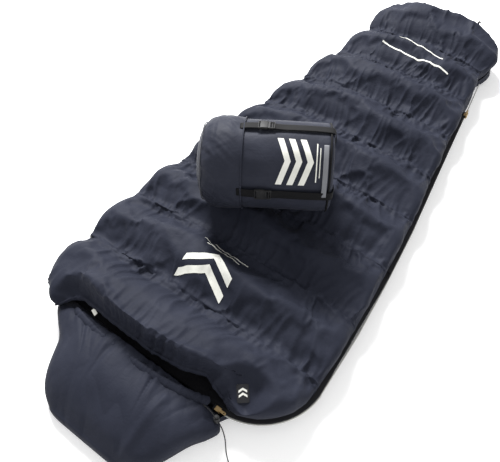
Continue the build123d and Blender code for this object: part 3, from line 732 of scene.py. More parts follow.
def top_row(chamber, share, end_y):
    """One row of the top quilt, as x, y, z, two cloth lengths, the distance from a seam and the fade at the sides."""
    near, far = CHAMBER_BOUNDS[chamber:chamber + 2]
    y = near + (far - near) * share
    ys = np.full(TOP_COLUMNS, y)
    left_y = y
    if chamber == CHEST:
        ys = near + (end_y - near) * share
        left_y = near + (LIP_LEFT_Y - near) * share
    section, length = arch(side_x(left_y, -1), side_x(y, 1), y, crown_height(y), TOP_COLUMNS)
    section[:, 1] = ys
    reach = np.linspace(0, 1, TOP_COLUMNS) * length
    u = reach - length / 2
    fade = smoothstep(np.minimum(reach, length - reach) / SIDE_RAMP)
    section += outward(section) * (chamber_lift(chamber, share, section, u, length) * fade)[:, None]
    off_foot = share * abs(far - near)
    off_head = (1 - share) * abs(far - near)
    if chamber < CHEST and (chamber > 0 or share > 0):
        section[:, 1] += SEAM_WANDER * field(u, ys, 0.19, 0.6, 51.0) * smoothstep(off_foot / 0.3 + 0.6) * fade
    return np.column_stack([section, u, ys, np.full(TOP_COLUMNS, min(off_foot, off_head)), fade])


def lip_rows(last):
    """The lip, rolled under from the chest's last row."""
    rim = np.minimum(np.arange(TOP_COLUMNS), np.arange(TOP_COLUMNS)[::-1]) / TOP_COLUMNS
    radius = LIP_RADIUS * (0.15 + 0.85 * smoothstep(rim / 0.12))
    radius = radius * (1 + 0.25 * field(last[:, 0], last[:, 1], 0.05, 1.0, 71.0))
    rows = []
    for step in range(1, LIP_ROWS + 1):
        angle = math.pi * step / LIP_ROWS
        row = last.copy()
        row[:, 1] -= radius * math.sin(angle)
        row[:, 2] -= radius * (1 - math.cos(angle))
        row[:, 4] -= LIP_RADIUS * angle
        row[:, 5] = 0
        row[:, 6] *= 1 - step / LIP_ROWS
        rows.append(row)
    return rows


def add_folds(layers, seeds, sewn_count):
    """Gathers out from every seam, and a groove along it, on a grid of top_row's layers."""
    points = layers[:, :, :3]
    gap = np.maximum(layers[:, :, 5], 0)
    fade = np.clip(layers[:, :, 6], 0, 1)
    lift = np.zeros(gap.shape)
    for row in range(len(points)):
        lift[row] = gathers(layers[row, :, 3], gap[row], seeds[row // 2]) * fade[row]
    sewn = np.arange(len(points)) < sewn_count
    groove = GROOVE_DEPTH * np.exp(-((gap / GROOVE_WIDTH) ** 2)) * fade * sewn[:, None]
    return points + grid_normals(points) * (lift - groove)[:, :, None]


def make_top():
    """The outer shell of the top quilt, from the foot to the rolled lip of the face opening."""
    places = chamber_rows(ROW_PITCH)
    end_y = lip_ends()
    rows = [top_row(chamber, share, end_y) for chamber, share in places]
    layers = np.array(rows + lip_rows(rows[-1]))
    seeds = [(13.5 if share < 1 - share else 18.0) + 7.0 * chamber for chamber, share in places]
    seeds += seeds[-1:] * LIP_ROWS
    pins = np.zeros(layers.shape[:2])
    pins[[share in (0.0, 1.0) for _, share in places] + [True] * LIP_ROWS] = 1
    pins[:, :2] = 1
    pins[:, -2:] = 1
    lip_edge = layers[-1, :, :3].copy()
    draft = grid_object("top_quilt_draft", layers[:, :, :3], layers[:, :, 3:5])
    settle(draft, pins.ravel(), **SETTLE)
    layers[:, :, :3] = coordinates(draft).reshape(layers[:, :, :3].shape)
    bpy.data.objects.remove(draft)
    layers = doubled(doubled(layers, 0), 1)
    points = over_the_zip(add_folds(layers, seeds, 2 * len(places) - 8))  # the lip has no groove
    points[:, :, 2] = under_loads(points)
    return grid_object("top_quilt_shell", points, layers[:, :, 3:5]), lip_edge


TOP, LIP_EDGE = make_top()
finish_piece(TOP, SHELL,
             replaces=[f"top_chamber_{n}" for n in range(CHAMBER_COUNT)] + [f"flap_chamber_{n}" for n in (6, 7, 8)])
follow_fold(TOP)

# ---------------------------------------------------------------- the bottom quilt's shell
BOTTOM_COLUMNS = 72
BOTTOM_PUFF = 0.008
CHAMBER_STEPS = 14  # the rows of each chamber
LEFT_SHOULDER_END_Y = -0.816
NECK_XS = (-0.262, 0.235)


def bottom_side_x(y, side):
    """The side seam of the bottom quilt, which runs on past the shoulders to the neck."""
    limit = LEFT_SHOULDER_END_Y if side < 0 else OPENING_Y
    if y > limit:
        return side_x(y, side)
    neck = NECK_XS[0] if side < 0 else NECK_XS[1]
    share = min((limit - y) / (limit - NECK_Y), 1)
    return side_x(limit, side) + (neck - side_x(limit, side)) * share


def under_section(left, right, y, count, high):
    """Points from the left side seam down, along the ground and up to the right side seam."""
    middle = (left + right) / 2
    half = (right - left) / 2
    angle = np.linspace(0, math.pi, 200)
    across = -signed_power(np.cos(angle), 0.55)
    drop = np.abs(np.sin(angle)) ** 0.28
    curve = np.stack([middle + half * across, np.full_like(angle, y), high * (1 - drop)], axis=1)
    return resample(curve, count)


def make_bottom():
    """The shell of the bottom quilt: flat on the ground, with puffed sides."""
    rows = []
    bounds = [FOOT_Y, *SEAM_YS, NECK_Y]
    for near, far in zip(bounds, bounds[1:]):
        for step in range(CHAMBER_STEPS):
            share = step / CHAMBER_STEPS
            rows.append((near + (far - near) * step / CHAMBER_STEPS, share))
    rows.append((NECK_Y, 1.0))
    points = np.zeros((len(rows), BOTTOM_COLUMNS, 3))
    uv = np.zeros((len(rows), BOTTOM_COLUMNS, 2))
    for row, (y, share) in enumerate(rows):
        section, length = under_section(bottom_side_x(y, -1), bottom_side_x(y, 1), y, BOTTOM_COLUMNS, BOTTOM_LOFT)
        reach = np.linspace(0, 1, BOTTOM_COLUMNS) * length
        rim = np.minimum(reach, length - reach)
        normal = -outward(section)
        side = np.abs(normal[:, 0])
        swell = 1 - abs(2 * share - 1) ** 2.4
        ramp = smoothstep(rim / 0.02)
        lift = BOTTOM_PUFF * swell * side * ramp
        lift = lift + 0.0016 * side * field(section[:, 1], section[:, 0], 0.03, 0.2, 5.0) * ramp
        section += normal * lift[:, None]
        groove = 0.006 * (1 - swell) * (side < 0.5) * smoothstep(rim / 0.08)
        section[:, 2] = np.maximum(section[:, 2], 0) + groove
        points[row] = section
        uv[row, :, 0] = reach
        uv[row, :, 1] = y
    bottom = grid_object("bottom_quilt_shell", points[:, ::-1], uv[:, ::-1])
    subdivide(bottom)
    finish_piece(bottom, SHELL, "root", [f"bottom_chamber_{n}" for n in range(CHAMBER_COUNT)])


make_bottom()


# ---------------------------------------------------------------- the foot's end panel
PANEL_RINGS = 15
PANEL_MIDDLE_Z = 0.066
# the radius of the black band painted as shade along the foot panel's seam
SHADE_BAND_RADIUS = 0.0035


def make_foot_end():
    """The oval end panel: a shallow dome closed over the foot, with a black band round its edge that is painted shade
    along the seam.
    """
    top, _ = arch(side_x(FOOT_Y, -1), side_x(FOOT_Y, 1), FOOT_Y, FOOT_CROWN, 48)
    under, _ = under_section(side_x(FOOT_Y, -1), side_x(FOOT_Y, 1), FOOT_Y, 32, BOTTOM_LOFT)
    loop = np.vstack([top, under[::-1][1:-1]])
    centre = np.array([0, FOOT_Y, PANEL_MIDDLE_Z])
    rows = []
    depth = BAG_END_Y - FOOT_Y
    for step in range(PANEL_RINGS):
        angle = step / (PANEL_RINGS - 1) * math.pi / 2
        ring = centre + (loop - centre) * (0.02 + 0.98 * math.cos(angle) ** 0.8)
        ring[:, 1] += depth * math.sin(angle) ** 1.1
        ring[:, 1] += 0.003 * math.sin(angle * 2) * field(ring[:, 0], ring[:, 2], 0.05, 0.05, 9.0)
        ring[:, 2] = np.maximum(ring[:, 2], 0)
        rows.append(ring)
    panel = grid_object("foot_end_cover", np.array(rows)[:, ::-1], wrap=True)
    subdivide(panel)
    finish_piece(panel, SHELL, "root", ["foot_end_panel"])
    edge = np.vstack([loop, loop[:2]])
    edge[:, 2] = np.maximum(edge[:, 2], SHADE_BAND_RADIUS + 0.0001)
    path = resample(edge, 160)[0] + np.array([0, 0.002, 0])
    # a black tube round the panel's edge: painted shade where the end panel meets the top shell, not a real binding
    binding = tube("foot_painted_shade_band", path, SHADE_BAND_RADIUS, SHADE_BAND_RADIUS, sides=8, up=(0, 1, 0.01))
    finish_piece(binding, WEBBING, "root")


make_foot_end()


# ---------------------------------------------------------------- the lining
LINING_FOOT_Y = 0.97
FLOOR_COLUMNS = 60
CEILING_FOOT_Y = 0.95
CEILING_MARGIN = 0.05  # between the ceiling and the side seams
CEILING_INSET = 10  # the ceiling is sewn to the lip this many columns in from each side


def make_lining_floor():
    """The black cloth on the bottom quilt."""
    ys = np.linspace(LINING_FOOT_Y, OPENING_Y - 0.012, 130)
    floor = np.zeros((len(ys), FLOOR_COLUMNS, 3))
    for row, y in enumerate(ys):
        left = bottom_side_x(y, -1) + 0.022
        right = bottom_side_x(y, 1) - 0.012
        x = np.linspace(left, right, FLOOR_COLUMNS)
        rim = np.minimum(x - left, right - x)
        wave = 1 + field(x, np.full_like(x, y), 0.05, 0.09, 3.0)
        floor[row, :, 0] = x
        floor[row, :, 1] = y
        floor[row, :, 2] = BOTTOM_LOFT + 0.003 + 0.004 * smoothstep(rim / 0.05) * wave
    sheet = grid_object("lining_floor_cloth", floor)
    finish_piece(sheet, LINING, "root", ["lining_floor"])


def make_lining_ceiling():
    """The black cloth under the top quilt, which ends in gathers behind the lip."""
    front = LIP_EDGE[CEILING_INSET:TOP_COLUMNS - CEILING_INSET]
    width = front.shape[0]
    steps = np.concatenate([np.linspace(0, 0.12, 22), np.linspace(0.13, 1, 60)])
    ceiling = np.zeros((len(steps), width, 3))
    for row, step in enumerate(steps):
        y = front[:, 1] + (CEILING_FOOT_Y - front[:, 1]) * step
        left = side_x(float(y.mean()), -1) + CEILING_MARGIN
        right = side_x(float(y.mean()), 1) - CEILING_MARGIN
        t = np.linspace(-1, 1, width)
        mix = smoothstep(np.full(width, step / 0.10))
        x = front[:, 0] * (1 - mix) + ((left + right) / 2 + (right - left) / 2 * t) * mix
        roof = BOTTOM_LOFT + 0.014 + 0.038 * (1 - np.abs(t) ** 4)
        z = front[:, 2] * (1 - mix) + roof * mix
        pucker = 0.006 * field(x, y, 0.014, 0.12, 8.0) * math.exp(-step / 0.05) * smoothstep(step / 0.01)
        ceiling[row] = np.stack([x, y, z + pucker], axis=1)
    roof_cloth = grid_object("lining_ceiling_cloth", ceiling)
    finish_piece(roof_cloth, LINING, replaces=["lining_top", "lining_flap"])
    follow_fold(roof_cloth)


make_lining_floor()
make_lining_ceiling()

# ---------------------------------------------------------------- zip, piping and draft tube
ZIP_START_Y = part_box("zip_coil_lower")[1].y
FOLD_TAPE_YS = (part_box("zip_coil_upper")[0].y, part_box("zip_coil_flap")[1].y)
COIL_OFFSET = 0.0095
COIL_PITCH = 0.0026
COIL_HEIGHTS = (0.0499, 0.0520)  # the lower coil and the upper one
PIPING_OFFSET = 0.0130
PIPING_Z = 0.0425
PIPING_RADIUS = 0.0022
DRAFT_OFFSET = -0.072
DRAFT_Z = 0.0505


def zip_line(offset, z, from_y, to_y=None, end_angle=None, spacing=0.004):
    """Points along the zip side, moved outwards; round the shoulder as far as end_angle in degrees."""
    stop = CHEST_SEAM_Y if to_y is None else to_y
    ys = np.linspace(from_y, stop, max(int((from_y - stop) / 0.02), 3))
    points = [(side_x(max(y, CHEST_SEAM_Y), 1) + offset, y, z) for y in ys]
    if end_angle is not None:
        for angle in np.radians(np.linspace(0, end_angle, 40)):
            radius = RIGHT_SHOULDER_RADIUS + offset
            points.append((SHOULDER_PIN.x + radius * math.cos(angle), SHOULDER_PIN.y + radius * math.sin(angle), z))
    points = np.array(points)
    return resample(points, int(path_length(points) / spacing))[0]


def make_coil(name, node, body, path):
    """A moulded coil: one fine helix along its path."""
    steps = 7
    turns = int(path_length(path) / COIL_PITCH)
    line = resample(path, turns * steps)[0]
    tangent = np.gradient(line, axis=0)
    tangent /= np.linalg.norm(tangent, axis=1, keepdims=True)
    side = np.cross(tangent, (0, 0, 1))
    phase = np.arange(len(line)) / steps * 2 * math.pi
    line = line + side * (0.0021 * np.cos(phase))[:, None]
    line[:, 2] += 0.0006 * np.sin(phase)
    coil = tube(name, line, 0.00042, 0.00042, sides=4)
    finish_piece(coil, COIL, body, [node])


def make_coils():
    """The zip's coils: the lower one, and the upper one in two lengths that part at the fold."""
    low, high = COIL_HEIGHTS
    make_coil("zip_coil_lower_teeth", "zip_coil_lower", "root",
              zip_line(COIL_OFFSET, low, ZIP_START_Y, end_angle=-95))
    make_coil("zip_coil_upper_teeth", "zip_coil_upper", "root",
              zip_line(COIL_OFFSET, high, ZIP_START_Y, FOLD_TAPE_YS[0]))
    make_coil("zip_coil_flap_teeth", "zip_coil_flap", "flap",
              zip_line(COIL_OFFSET, high, FOLD_TAPE_YS[1], end_angle=-84))


def make_piping():
    """Light piping outside the zip, seen between the chambers."""
    path = zip_line(PIPING_OFFSET, PIPING_Z, FOOT_SEAM_Y, end_angle=-84, spacing=0.006)
    piping = tube("side_piping_line", path, PIPING_RADIUS, PIPING_RADIUS, sides=8)
    finish_piece(piping, PIPING, "root", ["side_piping"])


def make_draft_tube():
    """The padded tube that covers the zip inside the bag."""
    path = zip_line(DRAFT_OFFSET, DRAFT_Z, ZIP_START_Y, spacing=0.012)
    swell = 1 + 0.15 * field(path[:, 1], path[:, 0], 0.05, 1, 6.0)
    draft = tube("draft_tube_cover", path, 0.017 * swell, 0.0046 * swell, sides=14, taper=3)
    finish_piece(draft, LINING, "root", ["draft_tube"])


make_coils()
make_piping()
make_draft_tube()

# ---------------------------------------------------------------- the hood
HOOD_FRONT_Y = -0.812
HOOD_OUTLINE = (
    (HOOD_FRONT_Y, 0.235), (-0.836, 0.262), (-0.870, 0.250), (-0.907, 0.226),
    (-0.980, 0.192), (-1.020, 0.160), (HOOD_END_Y, 0.118),
)
HOOD_CROWN = (
    (HOOD_FRONT_Y, 0.084), (-0.850, 0.098), (-0.900, 0.108), (-0.950, 0.100), (-1.000, 0.078), (HOOD_END_Y, 0.040),
)
HOOD_LEFT_EXTRA = 0.050  # how much wider the hood's front edge is on its left
HOOD_WING = 0.026  # the hood's left corner reaches forwards beside the opening
HOOD_END_Z = 0.018
HOOD_OVER = 130  # points of a ring over the crown, and under it
HOOD_UNDER = 36
PLEAT_TOP = (0.122, -0.846)
PLEAT_LEFT = (0.118, -1.045)
PLEAT_RIGHT = (0.236, -0.905)
PLEAT_DEPTH = 0.026
LOCK_TRAVEL = -0.012  # the cord lock's slide, at its limit
LOCK_CLEARANCE = 0.004


def beside_line(x, y, start, end):
    """How far places lie to the head's left of a line from start to end, with a minus sign on its right."""
    run = np.array([end[0] - start[0], end[1] - start[1]])
    run = run / np.linalg.norm(run)
    return (x - start[0]) * run[1] - (y - start[1]) * run[0]


def pleat_height(x, ys, y):
    """The pleat: a drop between its two edges, with a ridge along the left one and a crease inside."""
    left_of = beside_line(x, ys, PLEAT_TOP, PLEAT_LEFT)
    right_of = beside_line(x, ys, PLEAT_TOP, PLEAT_RIGHT)
    inside = np.minimum(left_of, -right_of)
    depth = PLEAT_DEPTH * min(max((PLEAT_TOP[1] - y) / 0.05, 0), 1)
    fold_in = smoothstep(left_of / 0.006) * smoothstep(-right_of / 0.012)
    fold_in = fold_in * np.exp(-np.maximum(inside, 0) / 0.05)
    ridge = 0.005 * np.exp(-((left_of / 0.012) ** 2)) * min(max((PLEAT_TOP[1] - y) / 0.03, 0), 1)
    crease = 0.004 * np.exp(-(((inside - 0.024) / 0.006) ** 2)) * (inside > 0)
    return ridge - crease - depth * fold_in


def hood_ring(y, half, crown):
    """One ring of the hood: over its crown from left to right, and back along the ground."""
    side_z = crown * 0.42
    angle = np.linspace(math.pi, 0, 240)
    rise = np.abs(np.sin(angle)) ** 0.72
    curve = np.stack([half * signed_power(np.cos(angle), 0.8), np.full_like(angle, y),
                      side_z + (crown - side_z) * rise], axis=1)
    top, _ = resample(curve, HOOD_OVER)
    angle = np.linspace(0, -math.pi, HOOD_UNDER + 2)[1:-1]
    drop = np.abs(np.sin(angle)) ** 0.4
    low = np.stack([half * signed_power(np.cos(angle), 0.55), np.full_like(angle, y), side_z * (1 - drop)], axis=1)
    x = top[:, 0].copy()
    ys = top[:, 1].copy()
    gap = np.full(HOOD_OVER, max(HOOD_FRONT_Y - y, 0))
    folds = 1.3 * gathers(x, gap, 7.0) - 0.003
    broad = 0.006 * field(x, ys, 0.13, 0.09, 17.0) + 0.003 * billow(x + 0.7 * ys, ys, 0.06, 0.14, 19.0)
    top[:, 1] += HOOD_WING * (np.maximum(-x, 0) / half) ** 6 * np.exp(-gap / 0.05)
    top[:, 2] += (folds + broad) * smoothstep((half - np.abs(x)) / 0.06) + pleat_height(x, ys, y)
    ring = np.vstack([top, low])
    wider = HOOD_LEFT_EXTRA / HOOD_OUTLINE[0][1] * (1 - smoothstep((HOOD_FRONT_Y - ring[:, 1]) / 0.10))
    ring[:, 0] *= 1 + wider * (ring[:, 0] < 0)
    return ring


def under_lock(points):
    """The hood's heights, pressed down under the cord lock over its whole travel."""
    low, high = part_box("cord_lock_barrel")
    run = Vector(JOINTS["cord_lock_slide"]["axis"]) * LOCK_TRAVEL
    off_x = np.maximum(np.maximum(low.x + run.x - points[:, :, 0], points[:, :, 0] - high.x), 0)
    off_y = np.maximum(np.maximum(low.y - points[:, :, 1], points[:, :, 1] - high.y + run.y), 0)
    return np.minimum(points[:, :, 2], low.z - LOCK_CLEARANCE + 1.2 * np.hypot(off_x, off_y))


def make_hood():
    """The hood's padded shell, with a pleat that spreads from its front edge."""
    outline = smooth_path([(0, y, half) for y, half in HOOD_OUTLINE], 0.004)[::-1]
    crowns = smooth_path([(0, y, z) for y, z in HOOD_CROWN], 0.004)[::-1]
    rows = []
    for y in np.linspace(HOOD_FRONT_Y, HOOD_END_Y + 0.004, 84):
        half = float(np.interp(y, outline[:, 1], outline[:, 2]))
        crown = float(np.interp(y, crowns[:, 1], crowns[:, 2]))
        rows.append(hood_ring(y, half, crown))
    last = rows[-1]
    for angle in np.linspace(0, math.pi / 2, 6)[1:]:  # the rounded end
        ring = last.copy()
        ring[:, 0] *= 0.55 + 0.45 * math.cos(angle)
        ring[:, 2] = HOOD_END_Z + (ring[:, 2] - HOOD_END_Z) * max(math.cos(angle), 0.02)
        ring[:, 1] -= 0.010 * math.sin(angle)
        rows.append(ring)
    points = np.array(rows)
    points[:, :, 2] = np.maximum(under_lock(points), 0)
    hood = grid_object("hood_shell", points[:, ::-1], wrap=True, caps=True)
    subdivide(hood)
    finish_piece(hood, SHELL, replaces=["hood_panel_left", "hood_gusset", "hood_panel_right"])
    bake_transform(hood)


HEM_LINE = (
    (-0.256, -0.812, 0.062), (-0.234, -0.820, 0.080), (-0.190, -0.829, 0.090),
    (-0.130, -0.838, 0.094), (-0.040, -0.843, 0.096), (0.050, -0.841, 0.096),
    (0.125, -0.832, 0.094), (0.178, -0.819, 0.088), (0.212, -0.806, 0.080),
)
HEM_SPACING = 0.0032


def make_hem():
    """The gathered channel along the hood's front edge, and the drawcord inside it."""
    path = smooth_path(HEM_LINE, HEM_SPACING)
    along = np.arange(len(path)) * HEM_SPACING
    level = np.zeros(len(path))
    gather = 0.0022 * field(along, level, 0.009, 1, 3.0) + 0.0015 * field(along, level, 0.03, 1, 5.0)
    path[:, 2] += 0.5 * gather
    hem = tube("hood_hem_channel", path, 0.0115 + gather, 0.0062 + gather, sides=16, up=(0, -0.45, 1), taper=3)
    subdivide(hem)
    finish_piece(hem, SHELL, "hood", ["hood_hem"])
    cord = tube("hood_drawcord_line", path[2:-2], 0.0016, 0.0016, sides=8)
    finish_piece(cord, CORD_BRAID, "hood", ["hood_drawcord"])


make_hood()
make_hem()


# ---------------------------------------------------------------- the compression sack
def sack_point(along, angle, radius):
    """A place on the sack: along its axis, round it from its near side, and out from its axis; arrays do too."""
    along, angle, radius = np.broadcast_arrays(along, angle, radius)
    out = np.cos(angle)[..., None] * np.array(SACK_NEAR) + np.sin(angle)[..., None] * np.array((0, 0, 1))
    return np.array(SACK_CENTRE) + along[..., None] * np.array(SACK_DIR) + out * radius[..., None]


STRAP_ANGLES = np.radians((7, 97, 187, 277))
STRAP_WIDTH = 0.025
STRAP_SQUARENESS = 0.45
LONG_STRAP = (  # (along, radius) places, from the base to the buckle
    (0.1848, 0.088), (0.1850, 0.105), (0.1815, 0.1195), (0.170, 0.1245), (0.13, 0.1268),
    (0.08, 0.1272), (0.045, 0.1268), (0.022, 0.1285), (0.010, 0.1295),
)
SHORT_STRAP = ((-0.072, 0.1250), (-0.062, 0.1264), (-0.050, 0.1282), (-0.036, 0.1288), (-0.020, 0.1290))
BODY_END = 0.1715
BASE_PROFILE = (
    (BODY_END, 0.1195), (0.176, 0.1185), (0.1795, 0.115), (0.182, 0.108), (0.1828, 0.094),
    (0.1832, 0.07), (0.1835, 0.045), (0.1836, 0.02), (0.1836, 0.002),
)
SKIRT_START = -0.132
SKIRT_END = -0.063
LID_CENTRE = ((-0.1892, 0.036), (-0.1896, 0.02), (-0.1897, 0.002))
LID_RIM = 0.127  # the radius at which the lid's creases are measured
LID_PIPING_RING = (-0.1725, 0.1075)  # along and radius
LID_HEM_RADIUS = 0.1262
STRIP_S = 0.159
STRIP_RADIUS = 0.1258
STRIP_ANGLES = (6, 72)
BUCKLE_S = -0.002
BUCKLE_R = 0.1305
SACK_SEGMENTS = 144
ROUND = np.linspace(0, 2 * math.pi, SACK_SEGMENTS, endpoint=False)


def round_field(radius, s, size_round, size_along, seed, twist=0.0):
    """Smooth noise round a ring of the sack at a place along it; twist slants it."""
    return field(ROUND * radius + twist * s, np.full_like(ROUND, s), size_round, size_along, seed)


def sack_ring(name, s, radius, thick, material, slot, body, count=160):
    """A thin edge that runs right round the sack."""
    ring = sack_point(s, np.linspace(0, 2 * math.pi, count), radius)
    edge = tube(name, ring, thick, thick, sides=8, up=tuple(SACK_DIR))
    finish_piece(edge, material, body)


def strap_pull(angle):
    """How much the straps draw the cloth in round the sack, from 0 to 1."""
    nearest = np.min([np.abs((angle - strap + math.pi) % (2 * math.pi) - math.pi) for strap in STRAP_ANGLES], axis=0)
    return np.exp(-(nearest / 0.16) ** 2)


def make_sack_body():
    """The stuffed body: a full barrel that the straps draw in, closed under the lid."""
    profile = [(-0.1765, 0.002), (-0.176, 0.03)]
    for t in np.linspace(math.pi / 2, 0.1, 14):
        profile.append((-0.12 - 0.055 * math.sin(t), 0.119 - 0.07 * (1 - math.cos(t))))
    for s in np.linspace(-0.1, 0.166, 46):
        profile.append((s, SACK_RADIUS - 0.001 + 0.0022 * math.sin((s + 0.1) / 0.27 * math.pi)))
    profile.append((BODY_END, SACK_RADIUS - 0.0025))
    rows = []
    for s, radius in profile:
        wrinkle = 0.0016 * round_field(SACK_RADIUS, s, 0.03, 0.09, 2.0)
        pucker = 0.0022 * round_field(SACK_RADIUS, s, 0.014, 0.12, 6.0) * math.exp(-(0.172 - s) / 0.02)
        rows.append(sack_point(s, ROUND, radius - 0.0035 * strap_pull(ROUND) + wrinkle + pucker))
    body = grid_object("sack_body_cloth", np.array(rows), wrap=True)
    subdivide(body)
    finish_piece(body, SACK_CLOTH_PAINTED_LIGHTER, "sack", ["sack_body"])


def make_sack_base():
    """The base: a puckered disc with a rounded edge and a dark binding."""
    rows = []
    for s, radius in BASE_PROFILE:
        share = radius / 0.12
        pucker = 0.0016 * field(ROUND * 0.12, np.full_like(ROUND, radius), 0.012, 0.05, 4.0) * share**3
        rows.append(sack_point(s + pucker, ROUND, radius))
    base = grid_object("sack_base_cloth", np.array(rows), wrap=True)
    subdivide(base)
    finish_piece(base, SACK_CLOTH_PAINTED_LIGHTER, "sack", ["sack_base"])
    sack_ring("sack_base_binding", BODY_END + 0.0003, 0.1205, 0.003, WEBBING, "webbing", "sack", count=150)


def make_sack_lid():
    """The puffed lid: a loose cap with creases, a piped rim and a hemmed skirt."""
    profile = []
    for s in np.linspace(SKIRT_END, SKIRT_START, 18):
        profile.append((s, LID_HEM_RADIUS + 0.0034 * math.sin((SKIRT_END - s) / 0.105 * math.pi)))
    for t in np.linspace(0.08, math.pi / 2, 20):
        profile.append((SKIRT_START - 0.056 * math.sin(t), 0.1268 - 0.078 * (1 - math.cos(t))))
    rows = []
    for s, radius in (*profile, *LID_CENTRE):
        share = smoothstep((SKIRT_END - s) / 0.04) * min(radius / 0.1, 1)
        crease = 0.0065 * (billow(ROUND * LID_RIM + 0.9 * s, np.full_like(ROUND, s), 0.024, 0.12, 12.0) - 0.5)
        patch = np.clip(0.35 + 1.2 * round_field(LID_RIM, s, 0.12, 0.1, 15.0), 0.1, 1)
        fine = 0.0012 * round_field(LID_RIM, s, 0.010, 0.06, 22.0, twist=-0.5)
        pull = 0.003 * strap_pull(ROUND) * smoothstep((s + 0.10) / 0.03)
        rows.append(sack_point(s, ROUND, radius + (crease * patch + fine) * share - pull))
    lid = grid_object("sack_lid_cloth", np.array(rows)[:, ::-1], wrap=True)
    subdivide(lid)
    finish_piece(lid, SACK_CLOTH_PAINTED_LIGHTER, "sack_lid", ["sack_lid"])
    sack_ring("sack_lid_hem", SKIRT_END + 0.002, LID_HEM_RADIUS, 0.0022, SACK_CLOTH_PAINTED_LIGHTER, "sack_fabric", "sack_lid")
    sack_ring("sack_lid_piping", *LID_PIPING_RING, 0.0018, LID_PIPING, "sack_fabric", "sack_lid")


def strap_piece(name, angle, places):
    """One strap along the sack, through (along, radius) places."""
    line = np.array([[s, r, 0] for s, r in places])
    line = smooth_path(line, 0.004)
    path = sack_point(line[:, 0], angle, line[:, 1])
    outwards = sack_point(0, angle, 1.0) - np.array(SACK_CENTRE)
    side = np.cross(np.array(SACK_DIR), outwards)
    tangent = np.gradient(path, axis=0)
    up = np.cross(side, tangent)
    return tube(name, path, STRAP_WIDTH / 2, 0.0008, sides=12, up=up, squareness=STRAP_SQUARENESS)


def make_straps():
    """Four straps: a long one from the base and a short one from the lid, at each buckle."""
    longs = [strap_piece(f"long_{number}", angle, LONG_STRAP) for number, angle in enumerate(STRAP_ANGLES)]
    shorts = [strap_piece(f"short_{number}", angle, SHORT_STRAP) for number, angle in enumerate(STRAP_ANGLES)]
    finish_piece(join("sack_long_straps", longs), WEBBING, "sack", ["sack_base_straps"])
    finish_piece(join("sack_short_straps", shorts), WEBBING, "sack_lid", ["sack_lid_straps"])


BUCKLE_BLOCKS = (  # along, across, out, size and bevel, from the buckle's middle
    ("socket_top", -0.0060, 0, 0.0022, (0.020, 0.030, 0.0020), 0.0008),
    ("socket_floor", -0.0060, 0, -0.0032, (0.020, 0.030, 0.0018), 0.0007),
    ("socket_mouth", 0.0035, 0, -0.0005, (0.003, 0.031, 0.0070), 0.0010),
    ("socket_end", -0.0205, 0, -0.0005, (0.003, 0.031, 0.0060), 0.0012),
    ("ladder_bar", -0.0160, 0, -0.0005, (0.0026, 0.028, 0.0032), 0.0010),
    ("socket_rail", -0.0130, 0.0140, -0.0005, (0.016, 0.003, 0.0060), 0.0012),
    ("prong", -0.0040, 0.0148, -0.0005, (0.014, 0.0030, 0.0042), 0.0012),
    ("plug_rail", 0.0140, 0.0130, -0.0005, (0.018, 0.0032, 0.0050), 0.0012),
    ("plug_body", 0.0080, 0, -0.0005, (0.007, 0.028, 0.0055), 0.0015),
    ("plug_spine", -0.0010, 0, -0.0005, (0.014, 0.005, 0.0030), 0.0010),
    ("plug_bar", 0.0165, 0, -0.0005, (0.0028, 0.026, 0.0032), 0.0010),
    ("plug_end", 0.0220, 0, -0.0005, (0.0030, 0.029, 0.0050), 0.0012),
)


def make_buckles():
    """Side-release buckles: a socket with an open window, a plug with two prongs, and the ladder bars."""
    parts = []
    for number, angle in enumerate(STRAP_ANGLES):
        out = Vector(sack_point(0, angle, 1.0) - np.array(SACK_CENTRE))
        side = SACK_DIR.cross(out)
        for label, along, across, high, size, bevel in BUCKLE_BLOCKS:
            for sign in (-1, 1) if across else (1,):
                centre = Vector(sack_point(BUCKLE_S + along, angle, BUCKLE_R + high)) + side * (sign * across)
                parts.append(rounded_box(f"{label}_{number}", centre, (SACK_DIR, side, out), size, bevel))
    finish_piece(join("sack_side_release_buckles", parts), PLASTIC, "sack_lid", ["sack_buckles"])


def make_sack_trim():
    """The light strip round the sack near its base."""
    angle = np.radians(np.linspace(*STRIP_ANGLES, 44))
    path = sack_point(STRIP_S, angle, STRIP_RADIUS)
    up = path - (np.array(SACK_CENTRE) + STRIP_S * np.array(SACK_DIR))
    strip = tube("sack_light_strip", path, 0.0065, 0.0009, sides=12, up=up, squareness=STRAP_SQUARENESS)
    finish_piece(strip, LIGHT_WEBBING, "sack", ["sack_handle"])


make_sack_body()
make_sack_base()
make_sack_lid()
make_straps()
make_buckles()
make_sack_trim()

# ---------------------------------------------------------------- generic printed marks
PRINT_LIFT = 0.0009
SACK_PRINT_ANGLE = math.radians(50)


def surface_of(obj):
    """A ray-casting tree of a piece's final surface."""
    graph = bpy.context.evaluated_depsgraph_get()
    return BVHTree.FromObject(obj, graph)


def printed_patch(corners, ray, tree, step=0.005):
    """A patch of print that lies on a surface, from its four corners in the ray's own two measures."""
    a, b, c, d = (np.array(corner, float) for corner in corners)
    rows = max(int(np.linalg.norm(d - a) / step), 2) + 1
    columns = max(int(np.linalg.norm(b - a) / step), 2) + 1
    points = np.zeros((rows, columns, 3))
    for row in range(rows):
        for column in range(columns):
            s = column / (columns - 1)
            t = row / (rows - 1)
            place = (a * (1 - s) + b * s) * (1 - t) + (d * (1 - s) + c * s) * t
            start, direction = ray(place)
            hit, normal, _, _ = tree.ray_cast(Vector(start), Vector(direction))
            if normal.dot(Vector(direction)) > 0:
                normal = -normal
            points[row, column] = hit + normal * PRINT_LIFT
    return grid_object("patch", points)


def bar(centre, length, width, tilt=0.0):
    """The corners of a bar; tilt is how much it rises along its length."""
    x, y = centre
    fall = tilt * length / 2
    return ((x - length / 2, y - width / 2 - fall), (x + length / 2, y - width / 2 + fall),
            (x + length / 2, y + width / 2 + fall), (x - length / 2, y + width / 2 - fall))


